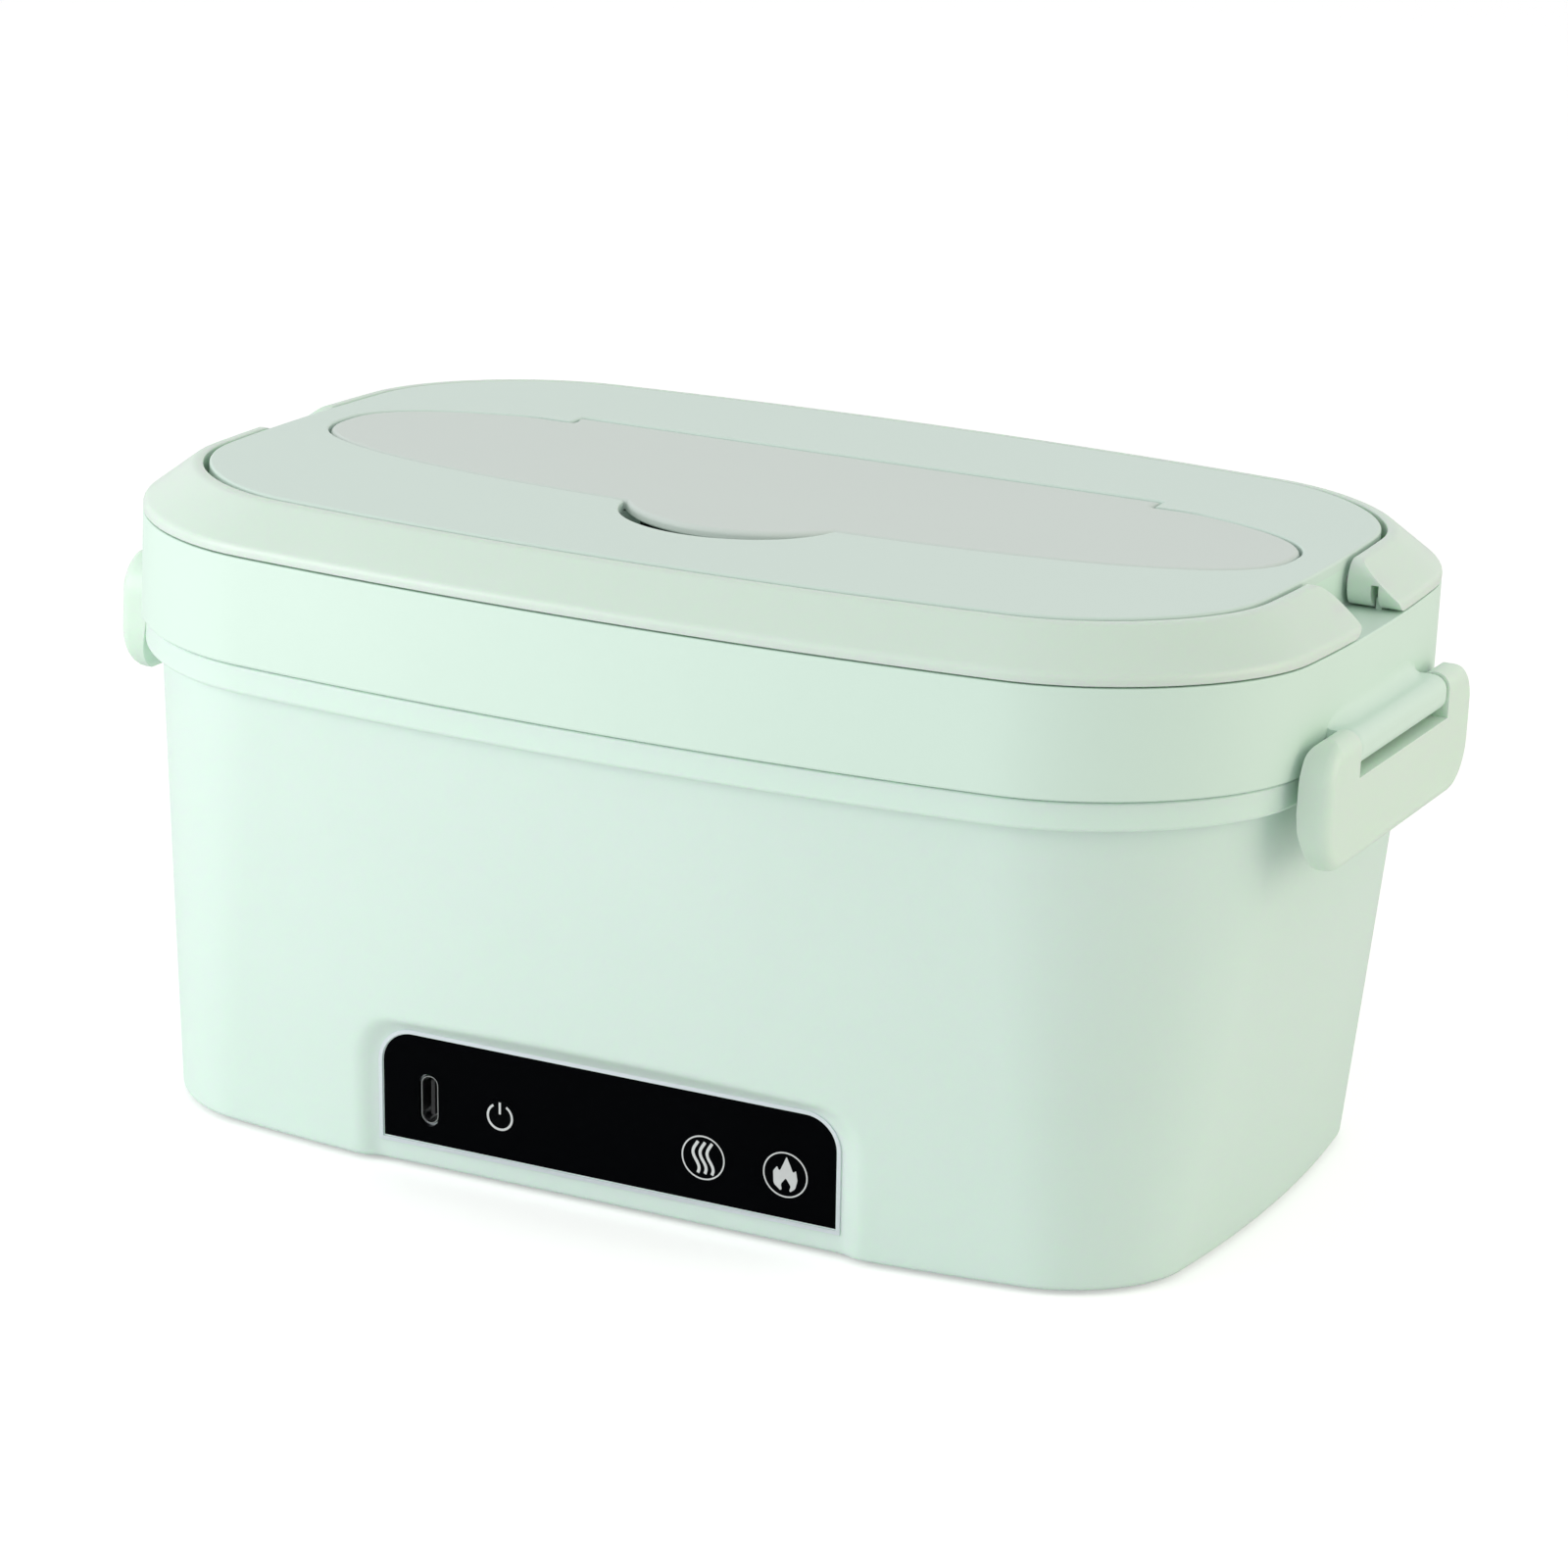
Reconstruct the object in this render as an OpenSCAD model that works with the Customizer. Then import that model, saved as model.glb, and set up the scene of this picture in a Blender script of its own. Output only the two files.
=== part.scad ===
/* [Outline] */
// Length of the lid wall, along X
lid_length = 224; // [204:1:250]
// Width of the lid wall, along Y
lid_width = 155; // [144:1:176]
// Corner radius of the lid wall
corner_radius = 35.6; // [30:0.2:38]
// How far the long sides bow out between the corners
long_bow = 9.1; // [4:0.1:12]
// How far the short sides bow out between the corners
short_bow = 4.9; // [2:0.1:6]
// Radius that an outline loses for each millimetre that it lies further in
corner_shrink = 0.6; // [0.4:0.05:0.7]
// Share of the short bow that an outline loses for each millimetre further in
bow_fade = 0.026; // [0.01:0.001:0.028]

/* [Body] */
// Height of the tub wall, from its bottom edge to the collar
body_height = 83.3; // [74:0.1:110]
// How far the tub lies inside the lid wall at its top
body_inset = 3.3; // [2.6:0.1:4.5]
// How much further in the short ends lie at the bottom
end_taper = 7.9; // [5:0.1:9]
// How much further in the long sides lie at the bottom
side_taper = 6.8; // [5:0.1:8]
// Corner radius of the tub at its bottom
bottom_corner_radius = 18; // [15:0.5:28]
// Corner radius of the tub under the collar
top_corner_radius = 33.5; // [29:0.5:36]
// Wall thickness of the tub
body_wall = 2.2; // [1.8:0.1:2.8]
// Rounding of the tub's bottom edge
bottom_edge = 1.2; // [0.6:0.1:1.8]
// How far the rubber feet stand below the tub
foot_drop = 0.8; // [0.4:0.1:1.6]
// Diameter of a rubber foot
foot_diameter = 12; // [9:0.5:14]
// Thickness of the base cover
base_cover_thickness = 2.4; // [2:0.1:3]
// Diameter of a base screw
base_screw_diameter = 3; // [2.6:0.1:3.5]

/* [Collar] */
// Height of the collar, up to the seam under the lid
collar_height = 5.4; // [4.8:0.1:8]
// How far the collar's face lies inside the lid wall
collar_inset = 0.8; // [0.4:0.1:1.4]
// Width of the open seam between the collar and the lid
seam_gap = 0.3; // [0.2:0.05:0.5]
// Depth of the collar's spigot inside the tub
spigot_depth = 4; // [3:0.5:6]

/* [Heating well] */
// Height of the bay for the electronics, under the well
bay_height = 30; // [28:0.5:36]
// Distance from the lid wall to the outside of the well at its top
well_inset = 9.3; // [8.9:0.1:10.5]
// How much further in the well and the container lie at their bottom
well_taper = 4.5; // [4:0.1:6]
// Wall thickness of the well
well_wall = 1.8; // [1.4:0.1:2.4]
// Thickness of the flange that carries the well
well_flange = 1.5; // [1.2:0.1:2]
// Thickness of the aluminium heating plate
heater_plate_thickness = 2; // [1.5:0.1:3]
// Distance from the lid wall to the edge of the heating plate
heater_plate_inset = 30; // [26:0.5:34]
// Thickness of the film heater
heater_film_thickness = 0.8; // [0.5:0.1:1.2]
// Thickness of the insulation pad
insulation_thickness = 3; // [2:0.1:4]
// Diameter of the thermal cut-out
cutout_diameter = 12; // [10:0.5:14]

/* [Food container] */
// Sheet thickness of the steel container
container_wall = 0.8; // [0.6:0.1:1.2]
// Radius of the container's bottom edge
container_edge = 7; // [5:0.5:8]
// Running clearance between the container and the well
container_clearance = 0.4; // [0.3:0.1:0.8]

/* [Control panel] */
// Depth of the panel's niche at the middle of the front
panel_depth = 3.7; // [3.2:0.1:4.5]
// Length of the silver panel frame
panel_length = 90.2; // [86:0.2:94]
// Height of the silver panel frame
panel_height = 22; // [21:0.2:24.4]
// Height of the frame above the tub's bottom edge
panel_rise = 3.9; // [2.8:0.1:4.4]
// Width of the frame's silver band
panel_band = 0.7; // [0.6:0.1:1.2]
// Radius of the frame's upper corners
panel_corner = 6.8; // [5:0.2:9]
// Width of the slope beside the panel
niche_side = 4.7; // [3.5:0.1:5.5]
// Height of the slope above the panel
niche_top = 3.5; // [3:0.1:4.5]
// Thickness of the black overlay
overlay_thickness = 0.8; // [0.6:0.1:1]
// Distance of the USB socket from the middle
usb_x = -35.2; // [-36:0.2:-33]
// Distance of the power button from the middle
button_x = -20.9; // [-23:0.2:-18]
// Diameter of the power button's cap
button_diameter = 5.8; // [5:0.1:7]
// Travel of the power button
button_travel = 0.4; // [0.2:0.05:0.5]
// Distance of the warm light from the middle
warm_x = 18.9; // [16:0.2:20]
// Distance of the heat light from the middle
heat_x = 34.6; // [33:0.2:35.4]
// Height of the socket, button and lights above the tub's bottom edge
control_rise = 13; // [12.6:0.1:14]
// Diameter of a light guide
light_diameter = 8; // [6:0.2:9]
// Thickness of the circuit board
board_thickness = 1.6; // [1:0.1:2]

/* [Lid] */
// Height of the lid wall, from the seam to the handle shelf
lid_wall_height = 19.2; // [17:0.1:26]
// Thickness of the lid wall and the shelf
lid_wall = 2.2; // [1.8:0.1:2.8]
// Height of the raised deck above the shelf
deck_height = 8.9; // [8.6:0.1:10]
// Distance from the lid wall to the edge of the deck
deck_inset = 10.7; // [10:0.1:12]
// Thickness of the deck's top plate
plate_thickness = 2; // [1.6:0.1:2.4]
// Thickness of the lid liner
liner_wall = 1.6; // [1.2:0.1:2]
// Thickness of the seal
gasket_thickness = 1.8; // [1.4:0.1:2.2]

/* [Handles] */
// Gap between a handle and the deck
handle_gap = 1; // [0.8:0.1:1.4]
// Gap under a handle
handle_lift = 0.3; // [0.2:0.05:0.5]
// Height of the upright lip around the handle
handle_lip = 1.5; // [1:0.1:2.5]
// Width of the flat crest beside the deck
handle_crest = 1.2; // [0.8:0.1:2]
// Distance of the pivots from the middle of a short end
pivot_y = 13; // [11:0.1:18]
// Height of the pivots above the shelf
pivot_rise = 4; // [3.8:0.1:4.4]
// Diameter of a handle pin
handle_pin_diameter = 3; // [2:0.1:3.4]
// Reach of a handle pin into the handle
handle_pin_reach = 3.2; // [2.6:0.1:3.6]
// Width of the slot in the end of a handle arm
stop_slot = 1.4; // [1.2:0.1:1.8]

/* [Latches] */
// Width of a latch
latch_width = 75.2; // [60:0.2:84]
// Length of the barrel that a latch turns on
barrel_length = 46.4; // [36:0.2:52]
// Radius of the barrel
barrel_radius = 2.7; // [2.4:0.1:2.9]
// Distance of the barrel's axis from the lid wall
barrel_out = 3; // [2.9:0.1:3.6]
// Depth of the barrel's round underside below its axis
barrel_sag = 1.1; // [0.4:0.1:1.3]
// Height of the barrel's axis above the seam
barrel_rise = 3.9; // [3.6:0.1:6]
// Length of a latch below the barrel's axis
latch_drop = 20.2; // [18:0.1:24]
// Height of the slot under the barrel
latch_slot = 2.4; // [1.6:0.1:3]
// Thickness of a latch at its lower end
latch_tip = 4.1; // [3.4:0.1:4.4]
// Radius of the latch's lower corners
latch_corner = 9; // [4:0.5:10]
// Diameter of a latch pin
latch_pin_diameter = 2; // [1.5:0.1:2.4]
// Width of the catch under the collar
catch_width = 36; // [24:1:44]

/* [Cutlery compartment] */
// Length of the compartment cover
cover_length = 188; // [170:1:190]
// Width of the compartment cover
cover_width = 58.8; // [50:0.2:60]
// Offset of the cover from the middle, to the back
cover_offset = 2.9; // [1:0.1:4]
// Thickness of the cover
cover_thickness = 2; // [1.8:0.1:2]
// Gap around the cover
cover_gap = 0.5; // [0.4:0.05:0.7]
// Length of the hinged part of the cover's back edge
hinge_length = 117.2; // [90:0.2:124]
// Radius of the cover's hinge barrel
hinge_radius = 1.8; // [1.6:0.1:2]
// Diameter of a hinge pin
hinge_pin_diameter = 1.5; // [1:0.1:1.8]
// Depth of the cutlery tray under the top face
tray_depth = 19; // [14:0.5:20]
// Wall thickness of the tray
tray_wall = 1.5; // [1.2:0.1:2]
// Radius of the finger recess
recess_radius = 20.6; // [16:0.2:22]
// Depth of the finger recess
recess_depth = 9.5; // [7:0.5:12]
// Radius of the finger tab
tab_radius = 24.2; // [20:0.2:28]

/* [Hidden] */

$fn = 48;
CORNER_STEPS = 8;
LONG_STEPS = 8;
SHORT_STEPS = 6;
ROUND_STEPS = 5;
ELLIPSE_STEPS = 64;
ELLIPSE_POWER = 2.5;
OVERLAP = 0.5;
THROUGH = 4;
FIT = 0.05;
CLEAR = 0.3;
SLIP = 0.1;
SEAT_GAP = 0.2;
SOFT_EDGE = 0.5;
WIRE_SIDES = 8;
WIRE_STEPS = 4;
SPLINE_HALF = 0.5;

half_length = lid_length / 2;
half_width = lid_width / 2;

z_body = foot_drop;
z_collar = z_body + body_height;
z_seam = z_collar + collar_height;
z_flange = z_seam - seam_gap - well_flange;
z_shelf = z_seam + lid_wall_height;
spigot_foot = z_collar - spigot_depth;
spigot_gap = 0.15;
spigot_wall = 1.6;
collar_edge = 1.2;
z_top = z_shelf + deck_height;
z_plate = z_top - plate_thickness;
z_well = z_body + bay_height;

// Food container
container_inset = well_inset + well_wall + container_clearance;
z_heater = z_well + well_wall;
z_container = z_heater + heater_plate_thickness + SEAT_GAP;
z_rim = z_seam - seam_gap + SLIP;
z_gasket = z_rim + container_wall + SLIP;
z_liner = z_gasket + gasket_thickness;
liner_top = z_liner + 5.8;
liner_step = 1.5;
liner_rib = 1.2;
plug_gap = 1.1;
plug_reach = 3;
flange_inset = well_inset - 3.3;
rim_flange_inset = flange_inset + 1;
heater_step = 4;
z_film = z_well - heater_film_thickness;
film_inset = heater_plate_inset + heater_step + 2;
z_pad = z_film - insulation_thickness;
cutout_height = 5;
cutout_terminal = 3;
cutout_lead = 1;
z_cutout = z_film - cutout_height;
base_post = 8;
base_pilot_depth = 14;

// Tray, cover and hinge
hinge_back = cover_offset + cover_width / 2 - cover_gap;
hinge_y = hinge_back - hinge_radius;
hinge_z = z_top - hinge_radius;
cover_back = hinge_y - 2 * hinge_radius;
ledge = 2.5;
z_tray = z_top - tray_depth;
recess_margin = 2.9;
tab_reach = 10.6;
recess_y = cover_offset - cover_width / 2 + recess_margin;
tab_y = recess_y + tab_reach;
hinge_boss = 6;
hinge_pin_length = 10;
hinge_bed = 2 * hinge_radius + 2 * SEAT_GAP;
pocket_rib = 2;
deck_post = 7;
deck_pilot = 2.4;
deck_screw_depth = 7;
deck_screw_head = 1.5;

// Handles
z_ring = z_shelf + handle_lift;
z_pivot = z_shelf + pivot_rise;
z_crest = z_top - SEAT_GAP;
ring_inner = deck_inset - handle_gap;
end_radius = pivot_rise - handle_lift;
handle_pin_inner = 6;
slot_x = half_length - 4.8;
stop_thickness = stop_slot - 2 * SEAT_GAP;
stop_half = 0.6;
stop_rise = 2;
stop_clear = 0.15;

// Latches
barrel_x = half_length + barrel_out;
barrel_z = z_seam + barrel_rise;
ear_radius = barrel_out - SLIP;
ear_inner = barrel_length / 2 + CLEAR;
latch_pin_reach = 7;
latch_round = 2;
latch_shoulder = 7.5;
catch_hook = 0.8;
catch_depth = 3.2;

// Control panel
lean = atan(side_taper / body_height);
panel_y = -(half_width - body_inset - side_taper - panel_depth);
panel_top = panel_rise + panel_height;
frame_floor = 1.2;
frame_front = overlay_thickness + SLIP;
frame_lip = panel_band + SEAT_GAP;
frame_proud = 0.3;
board_gap = 5;
board_front = overlay_thickness + frame_floor + board_gap;
board_back = board_front + board_thickness;
board_length = panel_length - 8;
board_post = 6;
board_post_x = 8;
board_pilot = 2.1;
board_margin = 1.5;
switch_height = board_gap - button_travel - 0.8;
switch_half = 3;
switch_plunger = 0.8;
button_flange = 0.6;
led_half = 1.5;
led_height = 1.2;
usb_width = 3.3;
usb_height = 9;
usb_skin = 0.35;
usb_floor = 0.8;
tongue_half = 3.3;

// Wires
wire_x = 4;
wire_diameter = 1.8;
connector_back = 7;
connector_rise = 16;
connector_half = 3;
connector_margin = 2;
wire_start = on_panel_point(board_back + connector_back + 2 * FIT, connector_rise);
wire_end = z_cutout - 2 * FIT;
wire_route = [wire_start, wire_start + [6, 0], [-30, 10], [-12, 9], [-3, 12],
              [0, wire_end - 4], [0, wire_end]];

// Screws
post_margin_x = 42;
deck_post_margin = 29.5;
base_post_margin = 33.5;
foot_margin_x = 26;
foot_margin_y = 37.5;
deck_post_x = half_length - post_margin_x;
deck_post_y = half_width - deck_post_margin;
base_post_x = half_length - post_margin_x;
base_post_y = half_width - base_post_margin;
foot_x = half_length - foot_margin_x;
foot_y = half_width - foot_margin_y;
foot_seat = 2.5 * foot_drop;
base_head_depth = 1.4;
vent_reach = 30;
vent_pitch = 6;
vent_width = 2;
vent_length = 24;

// ---------- Outlines ----------

function mix(a, b, t) = a + (b - a) * t;

function arc(cx, cy, r, from, to, steps = CORNER_STEPS) =
    [for (i = [0:steps])
        let (a = mix(from, to, i / steps))
        [cx + r * cos(a), cy + r * sin(a)]];

function between(p, q, steps) = [for (i = [1:steps - 1]) mix(p, q, i / steps)];

// Rounded rectangle, counter-clockwise, with extra points along its sides
function rounded_rect(a, b, r) =
    let (
        ne = arc(a - r, b - r, r, 0, 90),
        nw = arc(r - a, b - r, r, 90, 180),
        sw = arc(r - a, r - b, r, 180, 270),
        se = arc(a - r, r - b, r, 270, 360),
        end = CORNER_STEPS
    )
    concat(ne, between(ne[end], nw[0], LONG_STEPS),
           nw, between(nw[end], sw[0], SHORT_STEPS),
           sw, between(sw[end], se[0], LONG_STEPS),
           se, between(se[end], ne[0], SHORT_STEPS));

// Rounded rectangle of half sizes a and b whose sides bow out by bow_y and bow_x
function bowed(a, b, r, bow_y, bow_x) =
    [for (p = rounded_rect(a - bow_x, b - bow_y, r))
        [p[0] + bow_x * (1 - pow(p[1] / (b - bow_y), 2)) * p[0] / (a - bow_x),
         p[1] + bow_y * (1 - pow(p[0] / (a - bow_x), 2)) * p[1] / (b - bow_y)]];

// Outline that lies the given distance inside the lid wall
function rim(inset) =
    bowed(half_length - inset, half_width - inset, corner_radius - corner_shrink * inset,
          long_bow, short_bow * max(0, 1 - bow_fade * inset));

// Outline of the tub at height z, moved in by inset
function tub(z, inset) =
    let (t = (z - z_body) / body_height)
    bowed(half_length - body_inset - end_taper * (1 - t) - inset,
          half_width - body_inset - side_taper * (1 - t) - inset,
          mix(bottom_corner_radius, top_corner_radius, t) - inset, long_bow, short_bow);

function superellipse(a, b) =
    [for (i = [0:ELLIPSE_STEPS - 1])
        let (c = cos(360 * i / ELLIPSE_STEPS), s = sin(360 * i / ELLIPSE_STEPS))
        [a * sign(c) * pow(abs(c), 2 / ELLIPSE_POWER), b * sign(s) * pow(abs(s), 2 / ELLIPSE_POWER)]];

// Panel outline: square at the bottom, rounded at the top
function door(half, bottom, top, r) =
    concat([[-half, bottom], [half, bottom]],
           arc(half - r, top - r, r, 0, 90),
           arc(r - half, top - r, r, 90, 180));

// Height and inset of a rounded lower edge, from its foot to the wall
function lower_edge(z, inset, r) =
    [for (p = arc(inset + r, z + r, r, 270, 180, ROUND_STEPS)) [p[1], p[0]]];

// Outlines of a bowl from its floor's edge to its top, as [z, points] pairs
function bowl(z, inset, taper, z_end) =
    concat([for (e = lower_edge(z, inset + taper, container_edge)) [e[0], rim(e[1])]],
           [[z_end, rim(inset)]]);

// ---------- Solids ----------

// Solid through outlines at rising heights, as [z, points] pairs
module loft(levels) {
    n = len(levels[0][1]);
    last = (len(levels) - 1) * n;
    sides = [for (k = [0:len(levels) - 2]) for (i = [0:n - 1])
                let (a = k * n + i, b = k * n + (i + 1) % n)
                each [[a, a + n, b + n], [a, b + n, b]]];
    floor_face = [for (i = [0:n - 1]) i];
    roof_face = [for (i = [0:n - 1]) last + n - 1 - i];
    polyhedron(points = [for (level = levels) for (p = level[1]) [p[0], p[1], level[0]]],
               faces = concat([floor_face], sides, [roof_face]));
}

module prism(points, z0, z1) {
    translate([0, 0, z0]) linear_extrude(z1 - z0) polygon(points);
}

// Ring between two outlines that lie inside the lid wall
module rim_ring(outer, inner, z0, z1) {
    difference() {
        prism(rim(outer), z0, z1);
        prism(rim(inner), z0 - THROUGH, z1 + THROUGH);
    }
}

// Prism along Y of points given as [x, z]
module prism_y(points, y0, y1) {
    translate([0, y1, 0]) rotate([90, 0, 0]) linear_extrude(y1 - y0) polygon(points);
}

// Prism along X of points given as [y, z]
module prism_x(points, x0, x1) {
    translate([x0, 0, 0]) rotate([90, 0, 90]) linear_extrude(x1 - x0) polygon(points);
}

module rod_x(d, x0, x1, y, z) {
    translate([x0, y, z]) rotate([0, 90, 0]) cylinder(d = d, h = x1 - x0);
}

module rod_y(d, y0, y1, x, z) {
    translate([x, y1, z]) rotate([90, 0, 0]) cylinder(d = d, h = y1 - y0);
}

module box(x0, x1, y0, y1, z0, z1) {
    translate([x0, y0, z0]) cube([x1 - x0, y1 - y0, z1 - z0]);
}

module on_four(x, y) {
    for (sx = [-1, 1]) for (sy = [-1, 1]) translate([sx * x, sy * y, 0]) children();
}

// Screw that points up, with its head's top face at z = 0
module screw(d, length, head_d, head_h) {
    translate([0, 0, -head_h]) cylinder(d = head_d, h = head_h);
    translate([0, 0, -OVERLAP]) cylinder(d = d, h = length + OVERLAP);
}

// ---------- Panel frame of reference: X along, Y into the body, Z up the leaning face ----------

module on_panel() {
    translate([0, panel_y, z_body]) rotate([lean, 0, 0]) children();
}

module door_prism(half, bottom, top, r, y0, y1) {
    prism_y(door(half, bottom, top, r), y0, y1);
}

// Space in front of the panel, wider and higher towards the outside
module niche(grow, back) {
    reach = panel_depth + 1;
    side_depth = panel_depth - long_bow * pow((panel_length / 2 + niche_side) / half_length, 2);
    side = niche_side * reach / side_depth;
    top = niche_top * reach / panel_depth;
    below = -panel_rise - THROUGH;
    translate([0, back, 0]) rotate([90, 0, 0])
        loft([[0, door(panel_length / 2 + grow, below, panel_top + grow, panel_corner + grow)],
              [back + reach, door(panel_length / 2 + side + grow, below, panel_top + top + grow,
                                  panel_corner + top + grow)]]);
}

// ---------- Body ----------

module outer_shell() {
    color([0.86, 0.94, 0.89]) difference() {
        tub_solid();
        difference() {
            loft([[z_body - OVERLAP, tub(z_body, body_wall)],
                  [z_body, tub(z_body, body_wall)],
                  [z_collar, tub(z_collar, body_wall)],
                  [z_collar + OVERLAP, tub(z_collar, body_wall)]]);
            on_panel() niche(body_wall, body_wall);
        }
        on_panel() {
            niche(3 * FIT, 0);
            door_prism(panel_length / 2 + FIT, panel_rise - FIT, panel_top + FIT, panel_corner,
                       -OVERLAP, frame_front);
            door_prism(panel_length / 2 - frame_lip, panel_rise + frame_lip, panel_top - frame_lip,
                       panel_corner - frame_lip, -THROUGH, body_wall + THROUGH);
        }
    }
}

module tub_solid() {
    loft([[z_body, tub(z_body, bottom_edge)],
          [z_body + bottom_edge * 0.3, tub(z_body, bottom_edge * 0.3)],
          [z_body + bottom_edge, tub(z_body + bottom_edge, 0)],
          [z_collar, tub(z_collar, 0)]]);
}

module rim_collar() {
    top = z_seam - seam_gap;
    color([0.87, 0.95, 0.9]) difference() {
        union() {
            loft([[z_collar, rim(body_inset - collar_edge / 2)],
                  [z_collar + collar_edge / 3, rim(collar_inset + collar_edge / 2)],
                  [z_collar + collar_edge, rim(collar_inset)],
                  [top - SOFT_EDGE, rim(collar_inset)],
                  [top, rim(collar_inset + SOFT_EDGE)]]);
            difference() {
                loft([[spigot_foot, tub(spigot_foot, body_wall + spigot_gap)],
                      [z_collar + OVERLAP, tub(z_collar + OVERLAP, body_wall + spigot_gap)]]);
                loft([[spigot_foot - OVERLAP, tub(spigot_foot, body_wall + spigot_wall)],
                      [spigot_foot, tub(spigot_foot, body_wall + spigot_wall)],
                      [z_collar, tub(z_collar, body_wall + spigot_wall)],
                      [z_collar + 2 * OVERLAP, tub(z_collar, body_wall + spigot_wall)]]);
            }
        }
        prism(rim(well_inset - CLEAR), z_collar - THROUGH, top + THROUGH);
        prism(rim(flange_inset - SEAT_GAP), z_flange, top + THROUGH);
    }
}

module heating_well() {
    color([0.75, 0.78, 0.78]) difference() {
        union() {
            prism(rim(flange_inset), z_flange, z_flange + well_flange);
            loft(bowl(z_well, well_inset, well_taper, z_flange + OVERLAP));
            on_four(base_post_x, base_post_y) translate([0, 0, z_body + base_cover_thickness])
                cylinder(d = base_post, h = bay_height - base_cover_thickness + 1);
        }
        loft(bowl(z_heater, well_inset + well_wall, well_taper, z_flange + well_flange + THROUGH));
        prism(rim(heater_plate_inset + heater_step), z_well - THROUGH, z_heater + THROUGH);
        on_four(base_post_x, base_post_y)
            translate([0, 0, z_body]) cylinder(d = base_screw_diameter + 2 * FIT, h = base_pilot_depth);
    }
}

module heater_plate() {
    color([0.8, 0.81, 0.83]) {
        prism(rim(heater_plate_inset), z_heater, z_heater + heater_plate_thickness);
        prism(rim(heater_plate_inset + heater_step + SLIP), z_well, z_heater + OVERLAP);
    }
}

module heater_film() {
    color([0.75, 0.45, 0.12]) prism(rim(film_inset), z_film, z_well);
}

module insulation_pad() {
    color([0.9, 0.9, 0.86]) difference() {
        prism(rim(film_inset), z_pad, z_film);
        translate([0, 0, z_pad - THROUGH])
            cylinder(d = cutout_diameter + 2, h = insulation_thickness + 2 * THROUGH);
    }
}

module thermal_cutout() {
    color([0.25, 0.25, 0.27]) {
        translate([0, 0, z_cutout + cutout_lead])
            cylinder(d = cutout_diameter, h = cutout_height - cutout_lead);
        for (s = [-1, 1]) translate([s * wire_x, 0, z_cutout])
            cylinder(d = cutout_terminal, h = cutout_lead + OVERLAP);
    }
}

// ---------- Wires: a route in the YZ plane, smoothed, one on each side of the middle ----------

// Y and Z of a point that lies the given depth behind the panel and the given height up it
function on_panel_point(depth, height) =
    [panel_y + depth * cos(lean) - height * sin(lean), z_body + depth * sin(lean) + height * cos(lean)];

function spline(p, q, r, s, t) =
    SPLINE_HALF * (2 * q + (r - p) * t + (2 * p - 5 * q + 4 * r - s) * pow(t, 2)
                   + (3 * q - p - 3 * r + s) * pow(t, 3));

function smooth(route) =
    let (n = len(route) - 1)
    concat([for (k = [0:n - 1]) for (i = [0:WIRE_STEPS - 1])
               spline(route[max(k - 1, 0)], route[k], route[k + 1], route[min(k + 2, n)], i / WIRE_STEPS)],
           [route[n]]);

function unit(v) = v / norm(v);

module wire(x, route) {
    n = len(route);
    ways = [for (i = [0:n - 1]) unit(route[min(i + 1, n - 1)] - route[max(i - 1, 0)])];
    r = wire_diameter / 2;
    rings = [for (i = [0:n - 1]) for (k = [0:WIRE_SIDES - 1])
                let (a = 360 * k / WIRE_SIDES)
                [x + r * cos(a), route[i][0] - ways[i][1] * r * sin(a),
                 route[i][1] + ways[i][0] * r * sin(a)]];
    sides = [for (i = [0:n - 2]) for (k = [0:WIRE_SIDES - 1])
                [i * WIRE_SIDES + k, i * WIRE_SIDES + (k + 1) % WIRE_SIDES,
                 (i + 1) * WIRE_SIDES + (k + 1) % WIRE_SIDES, (i + 1) * WIRE_SIDES + k]];
    polyhedron(points = rings,
               faces = concat([[for (k = [0:WIRE_SIDES - 1]) WIRE_SIDES - 1 - k]], sides,
                              [[for (k = [0:WIRE_SIDES - 1]) (n - 1) * WIRE_SIDES + k]]));
}

module heater_wires() {
    color([0.75, 0.15, 0.12]) for (s = [-1, 1]) wire(s * wire_x, smooth(wire_route));
}

module base_cover() {
    z_top_face = z_body + base_cover_thickness;
    color([0.84, 0.91, 0.87]) difference() {
        loft([[z_body + SEAT_GAP, tub(z_body, body_wall + SEAT_GAP)],
              [z_top_face, tub(z_top_face, body_wall + SEAT_GAP)]]);
        on_panel() niche(body_wall + SEAT_GAP, body_wall + SEAT_GAP);
        on_four(base_post_x, base_post_y) translate([0, 0, z_body - THROUGH]) {
            cylinder(d = base_screw_diameter + 2 * SEAT_GAP, h = base_cover_thickness + 2 * THROUGH);
            cylinder(d = 2 * (base_screw_diameter + SEAT_GAP), h = THROUGH + base_head_depth);
        }
        on_four(foot_x, foot_y) translate([0, 0, -THROUGH])
            cylinder(d = foot_diameter + SEAT_GAP, h = foot_seat + THROUGH);
        for (x = [-vent_reach:vent_pitch:vent_reach])
            box(x - vent_width / 2, x + vent_width / 2, -vent_length / 2, vent_length / 2,
                z_body - THROUGH, z_top_face + THROUGH);
    }
}

module base_screws() {
    color([0.6, 0.6, 0.62]) on_four(base_post_x, base_post_y)
        translate([0, 0, z_body + base_head_depth])
            screw(base_screw_diameter, base_pilot_depth - THROUGH, 2 * base_screw_diameter,
                  base_head_depth - CLEAR);
}

module feet() {
    color([0.25, 0.27, 0.26]) on_four(foot_x, foot_y) cylinder(d = foot_diameter, h = foot_seat);
}

// ---------- Control panel ----------

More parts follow.
